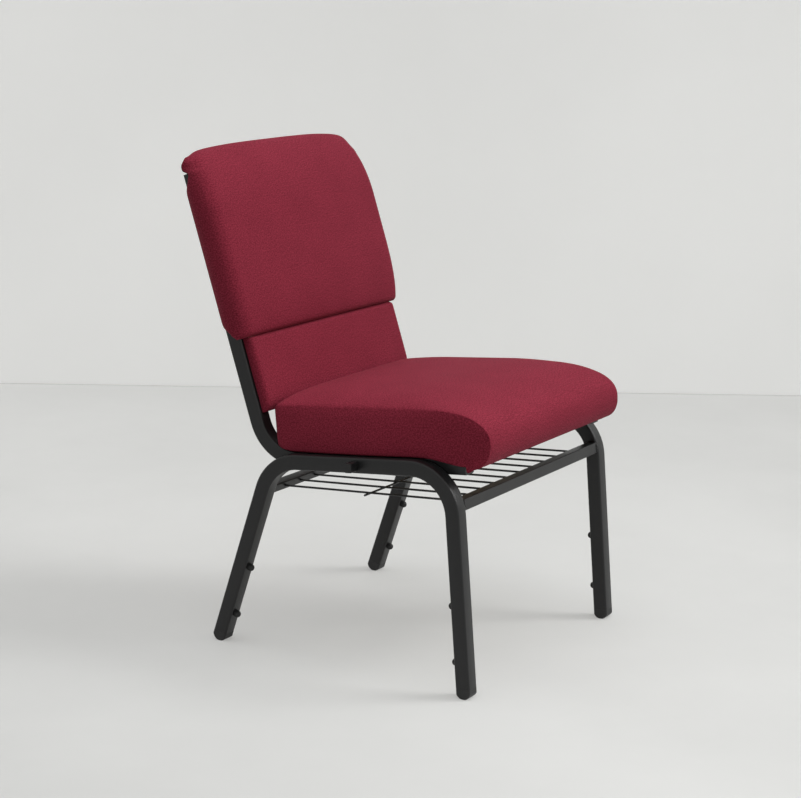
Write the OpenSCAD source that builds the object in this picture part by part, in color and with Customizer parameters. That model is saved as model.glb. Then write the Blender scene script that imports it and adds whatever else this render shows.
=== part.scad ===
// Stacking choir chair: bent square-tube frame, boxed seat cushion, two-part
// padded back and a wire book rack under the seat.
// Right-handed frame, +Z up, the chair faces -Y, X runs across it, and the
// floor is z = 0. All lengths are millimetres and all angles degrees.

/* [Tube] */
// Outside size of the square frame tube
tube = 25.4; // [22:0.1:28]
// Outside corner radius of the square frame tube
tube_corner = 3.2; // [2.5:0.1:4]
// Wall thickness of all tubes
tube_wall = 1.6; // [1.2:0.1:2]
// Outside size of the smaller square tube used for bars and braces
bar = 19; // [16:0.1:19]
// Outside corner radius of the smaller tube
bar_corner = 2.2; // [2.1:0.1:3]

/* [Leg frames] */
// Width over the outer faces of the two leg frames
frame_width = 508; // [470:1:560]
// Distance from front to rear foot, centre to centre on the floor
foot_span = 483.4; // [450:0.1:520]
// Backward lean of the front legs from upright
front_leg_lean = 5.8; // [3:0.1:8]
// Forward lean of the rear legs from upright
rear_leg_lean = 17.7; // [14:0.1:21]
// Height of the side rails' centre line midway between the feet
rail_height = 345; // [330:1:380]
// Rise of rails and seat towards the front
seat_tilt = 6.4; // [4:0.1:8]
// Centre-line radius of the front bends
front_bend = 65; // [50:1:75]
// Centre-line radius of the rear bends
rear_bend = 93; // [80:1:100]

/* [Back rails] */
// Rearward rake of the back from upright
back_rake = 19.3; // [15:0.1:23]
// Place of the back corner behind the middle of the feet
back_corner = 161.5; // [152:0.1:166]
// Length of a seat rail from the back corner to its cut front end
seat_rail_length = 370; // [360:1:380]
// Centre-line radius of the back bends
back_bend = 76; // [66:1:82]

/* [Feet and bumpers] */
// Radius of a foot cap's half-round sole, rolled front to back
sole_radius = 13.5; // [13:0.1:15]
// Depth cut flat from the sole where it meets the floor
sole_flat = 0.8; // [0.5:0.1:1.5]
// Height of a foot cap's straight collar above its sole
cap_collar = 4; // [2:0.5:10]
// Length of every plug's spigot inside its tube
spigot = 16; // [10:1:24]
// Diameter of a stacking bumper
bumper_diameter = 12; // [9:0.5:14]
// Stand-off of a stacking bumper from the leg
bumper_height = 9.5; // [6:0.5:11]
// Stem diameter of a stacking bumper
bumper_stem = 5; // [4:0.5:6]
// Distance of the lower bumpers from the floor along the leg
bumper_low = 57; // [48:1:70]
// Distance between the two bumpers of a leg
bumper_pitch = 91.5; // [80:0.5:100]

/* [Book rack] */
// Distance of the front rack bar below the front corner, along the leg
rack_drop_front = 60; // [54:1:75]
// Distance of the rear rack bar below the rear corner, along the leg
rack_drop_rear = 52; // [46:1:70]
// Diameter of the rack wires
wire = 3.5; // [3:0.1:5]
// Number of long rack wires
wire_count = 10; // [6:1:10]
// Distance between neighbouring long wires
wire_pitch = 43.6; // [30:0.1:44]
// Distance of the wires below the middle of the bars
wire_drop = 1.9; // [1:0.1:3]
// Place of the cross wire behind the middle of the feet
cross_wire_place = -17; // [-40:1:10]
// Length of the cross wire that shows past the outer long wires
cross_wire_overhang = 4; // [2:1:6]

/* [Seat] */
// Height of the boxed side of the seat cushion, from rail top to seam
seat_side = 75; // [65:1:85]
// Rise of the seat's middle above its side seams
seat_crown = 19; // [8:1:22]
// Distance from the seat's side seam to the outer face of the leg frame
seam_inset = 32; // [28:1:36]
// Outward bulge of the side panels below the seams
side_bulge = 14; // [6:1:16]
// Reach of the nose ahead of the middle of the feet, along the seat
nose_reach = 264; // [256:1:272]
// Drop of the nose below the rail tops
nose_drop = 16.5; // [10:0.5:18]
// Reach of the seat's rear face behind the middle of the feet
seat_rear = 143; // [139:1:145]
// Thickness of the seat board
seat_board = 12; // [10:0.5:15]

/* [Back] */
// Height of the crease between the two back pads above the back corner
crease_height = 200; // [180:1:220]
// Height of the top of the back above the back corner
back_height = 527; // [518:1:540]
// Height of the padded top edge above the tops of the stiles
top_overhang = 42; // [34:1:46]
// Height of the lower pad's bottom edge above the back corner
pad_bottom = 73; // [72:1:80]
// Depth of the upper pad's front from the rear face of the stiles
upper_depth = 66; // [58:1:74]
// Depth of the lower pad's front from the rear face of the stiles
lower_depth = 42; // [40:1:44]
// Thickness of the fabric flange that wraps the outer faces of the stiles
flange = 4.4; // [3:0.1:6]
// Distance from the lower pad's edge to the outer face of the stile
lower_inset = 5.6; // [3:0.1:9]
// Drop of the back's top edge towards its corners
top_arch = 9; // [4:1:14]
// Thickness of the back board
back_board = 9; // [7:0.5:10]
// Thickness of the rear panel between the stiles
rear_panel = 6; // [4:0.5:6]

/* [Ganging] */
// Reach of the ganging lug and its socket from the side rails
lug_reach = 20; // [14:1:24]
// Width of the lug along the rail
lug_width = 13; // [10:0.5:16]
// Height of the lug
lug_height = 15.5; // [12:0.5:18]
// Place of the lug behind the middle of the feet, along the rail
lug_place = -31; // [-60:1:20]
// Thickness of the socket's plates
socket_plate = 3; // [2.5:0.1:4]

/* [Fasteners] */
// Shank diameter of the screws
screw = 6; // [5:0.5:6]
// Head diameter of the screws
screw_head = 12; // [10:0.5:12]
// Head height of the screws
screw_head_height = 3.6; // [3:0.1:4]
// Flange diameter of the tee nuts
tee_flange = 18; // [16:0.5:20]
// Flange thickness of the tee nuts
tee_flange_height = 1.5; // [1:0.1:2]
// Barrel diameter of the tee nuts
tee_barrel = 8; // [7.5:0.1:9]

/* [Hidden] */
$fn = 48;

steel_colour = [0.13, 0.13, 0.13];
plastic_colour = [0.09, 0.09, 0.09];
fabric_colour = [0.50, 0.16, 0.22];
wood_colour = [0.74, 0.60, 0.42];
zinc_colour = [0.66, 0.67, 0.68];

// Air kept round pieces that slip into or beside one another
clearance = 0.4;
// Air left between crossing wires for their weld
weld_gap = 0.1;
// Extra length that carries a cut past the faces it opens
overrun = 1;

// Loss of wall on each face of a bend, and the bend's lap inside its straights
bend_thinning = 0.05;
bend_lap = 1;

// Planes across the chair
outer_x = frame_width / 2;
leg_x = outer_x - tube / 2;
inner_leg_x = outer_x - tube;
stile_x = inner_leg_x - tube / 2;
inner_stile_x = inner_leg_x - tube;

// A direction in the side view, where a point is [y, z]
function heading(a) = [cos(a), sin(a)];
function cross2(u, v) = u[0] * v[1] - u[1] * v[0];
// Where the line through p at angle a meets the line through q at angle b
function meet(p, a, q, b) =
    p + heading(a) * (cross2(q - p, heading(b)) / cross2(heading(a), heading(b)));

// Lines of the side view
rail_angle = -seat_tilt;
front_leg_angle = 90 - front_leg_lean;
rear_leg_angle = 90 + rear_leg_lean;
stile_angle = 90 - back_rake;
front_foot_point = [-foot_span / 2, 0];
rear_foot_point = [foot_span / 2, 0];
rail_point = [0, rail_height];
front_corner = meet(front_foot_point, front_leg_angle, rail_point, rail_angle);
rear_corner = meet(rear_foot_point, rear_leg_angle, rail_point, rail_angle);
back_corner_point = [back_corner, rail_height - back_corner * tan(seat_tilt)];

// The seat's own side view: s runs rearward along the rail tops, n up from them
seat_origin = [0, rail_height + tube / 2 / cos(seat_tilt)];
corner_s = back_corner / cos(seat_tilt) + tube / 2 * tan(seat_tilt);
seat_rail_front_s = corner_s - seat_rail_length;
bend_start_s = corner_s - setback(stile_angle - rail_angle, back_bend);
bend_inner = back_bend - tube / 2;

// The back's own side view: h runs up the stiles, d forward from their rear faces
back_origin = back_corner_point - tube / 2 * heading(stile_angle + 90);

// Feet: distances along a leg from the floor
sole_side_ease = 1.7;
sole_side_radius = norm([sole_radius, tube / 2 - sole_side_ease]);
sole_centre = sole_radius - sole_flat;
front_sole = sole_centre / sin(front_leg_angle);
rear_sole = sole_centre / sin(rear_leg_angle);

// Plugs: the stile plug is a thin cap, the seat rail plug a sloped nose
stile_plug_head = 2.5;
rail_plug_head = 13;

// Seat cushion
seam_half = outer_x - seam_inset;
nose_height_share = 0.31;
nose_height = seat_side * nose_height_share;
nose_top_length = 104;
nose_under_length = 33;
nose_roundness = 2.2;
nose_tip = 5;
nose_wall_s = seat_rail_front_s - rail_plug_head - overrun;
crown_run = 140;
crown_front = 179;
crown_rear_run = 83;
crown_sharpness = 8;
crown_fullness = 0.6;
seat_edge = 4;
seat_skirt = 0.8;

// Seat board, cut back beside the bends of the back rails
board_edge_gap = 12.6;
board_front_gap = 8;
board_rear_gap = 10;
board_bend_gap = 3;
board_half = inner_leg_x - board_edge_gap;
board_front_s = seat_rail_front_s + board_front_gap;
board_notch_s = bend_start_s - board_bend_gap;
board_rear_s = seat_rear - board_rear_gap;
board_rear_half = inner_stile_x - board_bend_gap;

// Seat bars and their screws
front_bar_inset = 60;
rear_bar_inset = 22;
seat_screw_inset = 53;
front_bar_s = board_front_s + front_bar_inset;
rear_bar_s = bend_start_s - rear_bar_inset;
seat_screw_x = inner_stile_x - seat_screw_inset;

// Back pads
stile_length = back_height - top_overhang;
pad_half = inner_leg_x + flange;
lower_half = inner_leg_x - lower_inset;
pad_front_crown = 4;
pad_least = 2;
upper_corner = 28;
lower_corner = 11;
top_corner = 7;
top_corner_run = 14;
top_roll = 125;
top_roll_base = 12;
crease_roll = 100;
crease_depth = 45;
flange_slant = 24;
notch_depth = 17;
lower_roll = 20;
lower_lip = 3;
lower_crease_drop = 4;

// Back board, braces, rear panel and their screws
back_board_edge_gap = 12;
back_board_low_gap = 12;
back_board_high_gap = 7;
brace_inset = 40;
rear_panel_gap = 7;
back_screw_inset = 83;
back_board_half = inner_leg_x - back_board_edge_gap;
back_board_low = pad_bottom + back_board_low_gap;
back_board_high = stile_length - back_board_high_gap;
lower_brace_h = back_board_low + brace_inset;
upper_brace_h = back_board_high - brace_inset;
rear_panel_low = pad_bottom + rear_panel_gap;
back_screw_x = inner_stile_x - back_screw_inset;
tee_barrel_height = 8;

// Whole-chair placing: the box round the chair is centred on the origin
nose_front_y = -nose_reach * cos(seat_tilt) + (nose_height - nose_tip) * sin(seat_tilt);
stile_top_y = back_origin[0] + stile_length * sin(back_rake);
middle_y = (nose_front_y + stile_top_y) / 2;

// Frames of reference

module whole() {
    translate([0, -middle_y, 0]) children();
}

// The children's z axis runs from point p along angle a of the side view, and
// their y axis to the right of it, seen with the chair's front to the left
module along(p, a) {
    translate([0, p[0] - middle_y, p[1]]) rotate([a - 90, 0, 0]) children();
}

// y runs rearward along the seat and z up from the rail tops
module in_seat() {
    translate([0, seat_origin[0] - middle_y, seat_origin[1]]) rotate([-seat_tilt, 0, 0]) children();
}

// z runs up the stiles and -y forward from their rear faces
module in_back() {
    translate([0, back_origin[0] - middle_y, back_origin[1]]) rotate([-back_rake, 0, 0]) children();
}

module both_sides() {
    children();
    mirror([1, 0, 0]) children();
}

// Tube sections and bent tubes

module rounded_square(w, r) {
    square([w, w - 2 * r], center = true);
    square([w - 2 * r, w], center = true);
    for (x = [-1, 1], y = [-1, 1])
        translate([x, y] * (w / 2 - r)) circle(r);
}

module tube_section(w, r) {
    difference() {
        rounded_square(w, r);
        rounded_square(w - 2 * tube_wall, r - tube_wall);
    }
}

// Bending thins the wall a little, so a bend's section sits inside its straights'
module bend_section() {
    difference() {
        rounded_square(tube - 2 * bend_thinning, tube_corner - bend_thinning);
        rounded_square(tube - 2 * tube_wall + 2 * bend_thinning, tube_corner - tube_wall + bend_thinning);
    }
}

module spigot_section() {
    rounded_square(tube - 2 * tube_wall - clearance, tube_corner - tube_wall);
}

// A bent tube that starts at z = 0 and runs along z. Straight lengths in runs
// alternate with bends; a bend turns the tube left by its angle, seen with the
// chair's front to the left, and by a negative angle to the right.
module bent_tube(runs, turns, radii, i = 0) {
    linear_extrude(runs[i]) tube_section(tube, tube_corner);
    if (i < len(turns)) translate([0, 0, runs[i]]) {
        centre = -sign(turns[i]) * radii[i];
        lap = bend_lap / radii[i] * 180 / PI;
        translate([0, centre, 0]) rotate([0, 0, turns[i] > 0 ? 0 : 180]) rotate([90, 0, 90])
            rotate([0, 0, -lap]) rotate_extrude(angle = abs(turns[i]) + 2 * lap) translate([radii[i], 0])
                bend_section();
        translate([0, centre, 0]) rotate([turns[i], 0, 0]) translate([0, -centre, 0])
            bent_tube(runs, turns, radii, i + 1);
    }
}

function setback(turn, r) = r * tan(abs(turn) / 2);

// Leg frame: front leg, side rail and rear leg in one bent tube

front_turn = rail_angle - front_leg_angle;
rear_turn = rear_leg_angle - 180 - rail_angle;
front_setback = setback(front_turn, front_bend);
rear_setback = setback(rear_turn, rear_bend);
front_leg_length = norm(front_corner - front_foot_point);
rear_leg_length = norm(rear_corner - rear_foot_point);
rail_length = norm(rear_corner - front_corner);

// The children are placed at each bumper of one leg, with z out of the leg's
// inward face; side is -1 for the front leg and 1 for the rear leg
module at_bumpers(x, foot, angle, side) {
    for (t = [bumper_low, bumper_low + bumper_pitch])
        translate([x, 0, 0]) along(foot + t * heading(angle), angle)
            rotate([side * 90, 0, 0]) translate([0, 0, tube / 2]) children();
}

module leg_tube(x) {
    start = front_sole + cap_collar;
    difference() {
        translate([x, 0, 0])
            along(front_foot_point + start * heading(front_leg_angle), front_leg_angle)
                bent_tube(
                    [front_leg_length - start - front_setback,
                        rail_length - front_setback - rear_setback,
                        rear_leg_length - rear_sole - cap_collar - rear_setback],
                    [front_turn, rear_turn],
                    [front_bend, rear_bend]
                );
        at_bumpers(x, front_foot_point, front_leg_angle, -1) stem_hole();
        at_bumpers(x, rear_foot_point, rear_leg_angle, 1) stem_hole();
    }
}

module stem_hole() {
    translate([0, 0, -tube_wall - overrun])
        cylinder(d = bumper_stem + clearance, h = tube_wall + 2 * overrun);
}

module left_leg_frame() {
    color(steel_colour) leg_tube(-leg_x);
}

module right_leg_frame() {
    color(steel_colour) leg_tube(leg_x);
}

// Back rail: seat rail and stile in one bent tube

back_turn = stile_angle - rail_angle;
back_setback = setback(back_turn, back_bend);

module back_tube(x) {
    translate([x, 0, 0])
        along(back_corner_point - seat_rail_length * heading(rail_angle), rail_angle)
            bent_tube(
                [seat_rail_length - back_setback,
                    stile_length - stile_plug_head - back_setback],
                [back_turn],
                [back_bend]
            );
}

module left_back_rail() {
    color(steel_colour) back_tube(-stile_x);
}

module right_back_rail() {
    color(steel_colour) back_tube(stile_x);
}

// Cross bars and braces

// A square tube across the chair, centred on the z = 0 plane of its frame
module cross_tube(half) {
    translate([-half, 0, 0]) rotate([90, 0, 90]) linear_extrude(2 * half)
        tube_section(bar, bar_corner);
}

module seat_bar(s) {
    in_seat() difference() {
        translate([0, s, -bar / 2]) cross_tube(inner_stile_x);
        both_sides() translate([seat_screw_x, s, -bar - overrun])
            cylinder(d = screw + clearance, h = bar + 2 * overrun);
    }
}

module front_seat_bar() {
    color(steel_colour) seat_bar(front_bar_s);
}

module rear_seat_bar() {
    color(steel_colour) seat_bar(rear_bar_s);
}

// The brace's front face is flush with the stiles' front faces, and the screws
// are let in through larger holes in its rear wall
module back_brace(h) {
    in_back() difference() {
        translate([0, -tube + bar / 2, h]) cross_tube(inner_stile_x);
        both_sides() translate([back_screw_x, -tube - overrun, h]) rotate([-90, 0, 0])
            cylinder(d = screw + clearance, h = tube_wall + 2 * overrun);
        both_sides() translate([back_screw_x, -tube + bar + overrun, h]) rotate([90, 0, 0])
            cylinder(d = screw_head + 2 * clearance, h = tube_wall + 2 * overrun);
    }
}

module upper_back_brace() {
    color(steel_colour) back_brace(upper_brace_h);
}

module lower_back_brace() {
    color(steel_colour) back_brace(lower_brace_h);
}

// Book rack

rack_front = front_corner - rack_drop_front * heading(front_leg_angle);
rack_rear = rear_corner - rack_drop_rear * heading(rear_leg_angle);
rack_front_face = rack_front + bar / 2 * heading(front_leg_angle - 90)
    - wire_drop * heading(front_leg_angle);
rack_rear_face = rack_rear + bar / 2 * heading(rear_leg_angle + 90)
    - wire_drop * heading(rear_leg_angle);
rack_line = rack_rear_face - rack_front_face;
rack_angle = atan2(rack_line[1], rack_line[0]);

module rack_bar(p, angle) {
    along(p, angle) cross_tube(inner_leg_x);
}

module rack_bar_block(p, angle) {
    along(p, angle) cube([2 * inner_leg_x, bar, bar], center = true);
}

module rack_front_bar() {
    color(steel_colour) rack_bar(rack_front, front_leg_angle);
}

module rack_rear_bar() {
    color(steel_colour) rack_bar(rack_rear, rear_leg_angle);
}

module rack_wires() {
    start = rack_front_face - wire * heading(rack_angle);
    color(steel_colour) difference() {
        for (i = [0 : wire_count - 1])
            translate([(i - (wire_count - 1) / 2) * wire_pitch, 0, 0])
                along(start, rack_angle) cylinder(d = wire, h = norm(rack_line) + 2 * wire);
        rack_bar_block(rack_front, front_leg_angle);
        rack_bar_block(rack_rear, rear_leg_angle);
    }
}

module rack_cross_wire() {
    half = (wire_count - 1) / 2 * wire_pitch + wire / 2 + cross_wire_overhang;
    run = (cross_wire_place - rack_front_face[0]) / cos(rack_angle);
    color(steel_colour) along(rack_front_face, rack_angle)
        translate([-half, wire + weld_gap, run]) rotate([0, 90, 0]) cylinder(d = wire, h = 2 * half);
}

// Feet: a collar flush with the tube, a half-round sole with eased sides and a
// spigot inside the tube

module foot(x, p, angle, sole) {
    color(plastic_colour) difference() {
        translate([x, 0, 0]) along(p + sole * heading(angle), angle) {
            intersection() {
                translate([0, 0, -sole_radius]) linear_extrude(sole_radius)
                    rounded_square(tube, tube_corner);
                rotate([0, 90, 0]) cylinder(r = sole_radius, h = 2 * tube, center = true);
                sphere(sole_side_radius);
            }
            linear_extrude(cap_collar) rounded_square(tube, tube_corner);
            translate([0, 0, cap_collar]) linear_extrude(spigot) spigot_section();
        }
        whole() translate([x - tube, p[0] - tube, -tube]) cube([2 * tube, 2 * tube, tube]);
    }
}

module front_left_foot() {
    foot(-leg_x, front_foot_point, front_leg_angle, front_sole);
}

module front_right_foot() {
    foot(leg_x, front_foot_point, front_leg_angle, front_sole);
}

module rear_left_foot() {
    foot(-leg_x, rear_foot_point, rear_leg_angle, rear_sole);
}

module rear_right_foot() {
    foot(leg_x, rear_foot_point, rear_leg_angle, rear_sole);
}

// Bumpers: a domed button with a stem through the tube wall

module bumper() {
    base = bumper_height / 3;
    dome = bumper_height - base;
    dome_radius = (pow(bumper_diameter / 2, 2) + dome * dome) / (2 * dome);
    rotate_extrude() {
        translate([0, base + dome - dome_radius]) intersection() {
            circle(dome_radius);
            translate([0, dome_radius - dome]) square([bumper_diameter / 2, dome]);
        }
        square([bumper_diameter / 2, base]);
        translate([0, -2 * tube_wall]) square([bumper_stem / 2, 2 * tube_wall]);
    }
}

module front_leg_bumpers() {
    color(plastic_colour) for (x = [-leg_x, leg_x])
        at_bumpers(x, front_foot_point, front_leg_angle, -1) bumper();
}

module rear_leg_bumpers() {
    color(plastic_colour) for (x = [-leg_x, leg_x])
        at_bumpers(x, rear_foot_point, rear_leg_angle, 1) bumper();
}

// Tube plugs

module stile_plugs() {
    color(plastic_colour) both_sides()
        translate([stile_x, 0, 0])
            along(back_corner_point + stile_length * heading(stile_angle), stile_angle) {
                translate([0, 0, -stile_plug_head]) linear_extrude(stile_plug_head)
                    rounded_square(tube, tube_corner);
                translate([0, 0, -stile_plug_head - spigot]) linear_extrude(spigot) spigot_section();
            }
}

// The seat rail plug's top slopes down towards its rounded tip
module seat_rail_plugs() {
    color(plastic_colour) both_sides() in_seat() translate([stile_x, seat_rail_front_s, -tube / 2]) {
        intersection() {
            rotate([90, 0, 0]) linear_extrude(rail_plug_head) rounded_square(tube, tube_corner);
            translate([-tube / 2, 0, -tube / 2]) rotate([90, 0, 90]) linear_extrude(tube) {
                scale_free_nose();
            }
        }
        translate([0, spigot, 0]) rotate([90, 0, 0]) linear_extrude(spigot) spigot_section();
    }
}

// Side view of the plug's nose: a quarter round above a short upright tip
module scale_free_nose() {
    tip = tube - rail_plug_head;
    translate([-rail_plug_head, 0]) square([rail_plug_head, tip]);
    translate([0, tip]) intersection() {
        circle(rail_plug_head);
        translate([-rail_plug_head, 0]) square(rail_plug_head);
    }
}

// Ganging lug on the left rail, and the socket that drops over a neighbour's lug

module at_lug(x) {
    translate([x, 0, 0]) along(rail_point + lug_place * heading(rail_angle), rail_angle) children();
}

module ganging_lug() {
    corner = lug_width / 6;
    color(steel_colour) at_lug(-outer_x - lug_reach) rotate([0, 90, 0]) linear_extrude(lug_reach) {
        square([lug_width - 2 * corner, lug_height], center = true);
        square([lug_width, lug_height - 2 * corner], center = true);
        for (x = [-1, 1], y = [-1, 1])
            translate([x * (lug_width / 2 - corner), y * (lug_height / 2 - corner)]) circle(corner);
    }
}

module ganging_socket() {
    inner_width = lug_width + 2 * overrun;
    outer_width = inner_width + 2 * socket_plate;
    color(steel_colour) at_lug(outer_x) difference() {
        translate([0, -lug_height / 2 - socket_plate, -outer_width / 2])
            cube([lug_reach, lug_height + socket_plate, outer_width]);
        translate([-overrun, -lug_height / 2, -inner_width / 2])
            cube([lug_reach + 2 * overrun, lug_height + overrun, inner_width]);
    }
}

// Boards, screws and tee nuts

module seat_board_outline() {
    translate([-board_half, board_front_s]) square([2 * board_half, board_notch_s - board_front_s]);
    translate([-board_rear_half, board_front_s])
        square([2 * board_rear_half, board_rear_s - board_front_s]);
}

module at_seat_screws() {
    for (s = [front_bar_s, rear_bar_s])
        both_sides() translate([seat_screw_x, s, 0]) children();
}

module at_back_screws() {
    for (h = [lower_brace_h, upper_brace_h])
        both_sides() translate([back_screw_x, -tube, h]) rotate([90, 0, 0]) children();
}

// A hole through a board for a tee nut, with a counterbore for its flange
module tee_hole(thickness) {
    translate([0, 0, -overrun]) cylinder(d = tee_barrel + clearance, h = thickness + 2 * overrun);
    translate([0, 0, thickness - tee_flange_height])
        cylinder(d = tee_flange + clearance, h = tee_flange_height + overrun);
}

module tee_nut(thickness) {
    translate([0, 0, thickness]) rotate([180, 0, 0]) difference() {
        union() {
            cylinder(d = tee_flange, h = tee_flange_height);
            cylinder(d = tee_barrel, h = min(tee_barrel_height, thickness - 2 * clearance));
        }
        translate([0, 0, -overrun]) cylinder(d = screw + clearance, h = thickness + 2 * overrun);
    }
}

// A screw whose head rests on z = 0 and whose shank rises from there
module round_screw(length) {
    rim = screw_head_height / 3;
    dome = screw_head_height - rim;
    dome_radius = (pow(screw_head / 2, 2) + dome * dome) / (2 * dome);
    rotate_extrude() {
        square([screw / 2, length]);
        translate([0, -rim]) square([screw_head / 2, rim]);
        translate([0, -screw_head_height + dome_radius]) intersection() {
            circle(dome_radius);
            translate([0, -dome_radius]) square([screw_head / 2, dome]);
        }
    }
}

module seat_board_panel() {
    color(wood_colour) in_seat() difference() {
        linear_extrude(seat_board) seat_board_outline();
        at_seat_screws() tee_hole(seat_board);
    }
}

module seat_screws() {
    color(zinc_colour) in_seat() at_seat_screws()
        translate([0, 0, -bar]) round_screw(bar + seat_board - clearance);
}

module seat_tee_nuts() {
    color(zinc_colour) in_seat() at_seat_screws() tee_nut(seat_board);
}

module back_board_panel() {
    color(wood_colour) in_back() difference() {
        translate([-back_board_half, -tube - back_board, back_board_low])
            cube([2 * back_board_half, back_board, back_board_high - back_board_low]);
        at_back_screws() tee_hole(back_board);
    }
}

module back_screws() {
    color(zinc_colour) in_back() at_back_screws()
        translate([0, 0, -tube_wall]) round_screw(tube_wall + back_board - clearance);
}

module back_tee_nuts() {
    color(zinc_colour) in_back() at_back_screws() tee_nut(back_board);
}

// Soft forms: closed skins through a row of rings with equal point counts

// A ring of m points is closed by a zigzag between its two ends
function cap_faces(m) = [for (j = [0 : ceil(m / 2) - 2]) each
    [[j, j + 1, m - 1 - j], if (j + 1 < m - 2 - j) [j + 1, m - 2 - j, m - 1 - j]]];
function flipped(face, shift) = [face[2] + shift, face[1] + shift, face[0] + shift];

function skin_faces(rings, m) = concat(
    cap_faces(m),
    [for (i = [0 : rings - 2], j = [0 : m - 1])
        let (a = i * m + j, b = i * m + (j + 1) % m)
            each [[a, a + m, b + m], [a, b + m, b]]],
    [for (face = cap_faces(m)) flipped(face, (rings - 1) * m)]
);

module skin(rings) {
    m = len(rings[0]);
    polyhedron(points = [for (r = rings) each r], faces = skin_faces(len(rings), m));
}

function reversed(list) = [for (i = [len(list) - 1 : -1 : 0]) list[i]];
// Fall of a rounded edge, 0 at the start of its run and 1 at its end
function edge_fall(u, power) = 1 - pow(max(0, 1 - pow(min(1, max(0, u)), power)), 1 / power);

// Seat cushion

nose_top_start = -nose_reach + nose_top_length;
nose_under_start = -nose_reach + nose_under_length;
seat_length = seat_rear + nose_reach;

function seat_top(s) = seat_side
    - (seat_side - nose_height - nose_tip)
        * edge_fall((nose_top_start - s) / nose_top_length, nose_roundness);
function seat_under(s) = -nose_drop
    + (nose_drop + nose_height - nose_tip)
        * edge_fall((nose_under_start - s) / nose_under_length, 2);
// The sides belly out most behind the middle, and part of that stays at the rear
function seat_belly(s) = let (u = (s + nose_reach) / seat_length)
    side_bulge * (0.05 + 0.55 * sin(180 * u) + 0.35 * u);
// The crown is highest behind the middle, low over the nose and lower at the rear
function seat_rise(s) = seat_crown
    * (1 - 0.88 * pow(min(1, max(0, (crown_front - nose_reach - s) / crown_run)), 1.6))
    * (1 - 0.26 * pow(max(0, (s - seat_rear + crown_rear_run) / crown_rear_run), 1.5));

seat_across_shares = [-1, -0.99, -0.96, -0.91, -0.82, -0.6, -0.3, 0, 0.3, 0.6, 0.82, 0.91, 0.96, 0.99, 1];
side_steps = 7;

function seat_side_points(s, drawn, hand) = [
    for (k = [1 : side_steps]) let (t = 1 - k / side_steps)
        [hand * (seam_half - drawn + seat_belly(s) * sin(180 * (0.25 + 0.75 * t))), s,
            seat_under(s) + (seat_top(s) - drawn - seat_under(s)) * t]
];

function seat_ring(s, drawn) = concat(
    [for (u = seat_across_shares)
        [u * (seam_half - drawn), s,
            seat_top(s) - drawn + seat_rise(s) * pow(1 - pow(abs(u), crown_sharpness), crown_fullness)]],
    seat_side_points(s, drawn, 1),
    reversed(seat_side_points(s, drawn, -1))
);

nose_steps = 10;
nose_places = [for (i = [0 : nose_steps])
    -nose_reach + nose_top_length * (1 - cos(90 * i / nose_steps))];
seat_places = concat(nose_places, [for (i = [1 : 5])
    nose_top_start + (seat_rear - seat_edge - nose_top_start) * i / 5]);

module seat_cushion() {
    cut = 2 * outer_x;
    color(fabric_colour) in_seat() difference() {
        skin(concat(
            [for (s = seat_places) seat_ring(s, s == -nose_reach ? seat_edge / 2 : 0)],
            [seat_ring(seat_rear - seat_edge * 0.3, seat_edge * 0.3)],
            [seat_ring(seat_rear, seat_edge)]
        ));
        translate([-cut, nose_wall_s, -cut + seat_skirt]) cube([2 * cut, 2 * cut, cut]);
        translate([0, 0, -overrun]) linear_extrude(seat_board + overrun) seat_board_outline();
        both_sides() bend_relief();
    }
}

// Room for the bend from seat rail to stile at the cushion's rear corner
module bend_relief() {
    reach = bend_inner - clearance;
    translate([inner_stile_x - clearance, bend_start_s, bend_inner]) rotate([90, 0, 90])
        linear_extrude(tube * 2) difference() {
            translate([0, -2 * reach]) square([2 * reach, 2 * reach]);
            circle(reach, $fn = 96);
        }
}

// Back pads

// The rear edge of the upper pad's side is slanted at the crease, level with the
// stiles' rear faces, and drawn forward under the overhanging top. The shares
// are of the overhang's height below the top edge and of the notch's depth.
top_rear_shares = [[1.52, 0], [1, 1], [0.92, 1], [0.78, 0.47], [0.42, 0.47], [0.08, 0.82]];

function upper_rear(h) = lookup(h, concat(
    [[crease_height, tube], [crease_height + flange_slant, 0]],
    [for (p = top_rear_shares) [back_height - p[0] * top_overhang, p[1] * notch_depth]]
));

function upper_front(h) = upper_depth
    - (upper_depth - top_roll_base)
        * edge_fall((h - back_height + top_roll) / (top_roll + 2 * overrun), 2)
    - (upper_depth - crease_depth)
        * edge_fall((crease_height + crease_roll - h) / (crease_roll + 2 * overrun), 2);

front_across_shares = [-1, -0.72, -0.42, 0, 0.42, 0.72, 1];
corner_steps = 5;

// One ring of a pad at height h: front path left to right, then rear path back.
// The arch lowers the ends of the rings near the top edge.
function pad_ring(h, half, front, rear, corner, arch) =
    let (
        deep = min(corner, 0.85 * (front - rear)),
        flat = half - corner,
        left = [for (k = [corner_steps : -1 : 1]) let (a = 90 * k / corner_steps)
            [-flat - corner * sin(a), front - deep * (1 - cos(a))]],
        middle = [for (u = front_across_shares) [u * flat, front + pad_front_crown * (1 - u * u)]],
        right = [for (p = reversed(left)) [-p[0], p[1]]],
        path = concat(left, middle, right)
    )
    concat(
        [for (p = path) [p[0], -p[1], h - arch * pow(abs(p[0] / half), 3)]],
        [for (p = reversed(path)) [p[0], -rear, h - arch * pow(abs(p[0] / half), 3)]]
    );

crease_height_shares = [0, 0.03, 0.09, 0.18, 0.24, 0.42, 0.7, 1];
top_height_shares = [1.24, 1, 0.76, 0.62, 0.49, 0.4, 0.32, 0.296, 0.248, 0.19, 0.136, 0.08, 0.04, 0.012, 0];
upper_heights = concat(
    [for (v = crease_height_shares) crease_height + v * crease_roll],
    [for (v = top_height_shares) back_height - v * top_roll]
);

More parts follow.
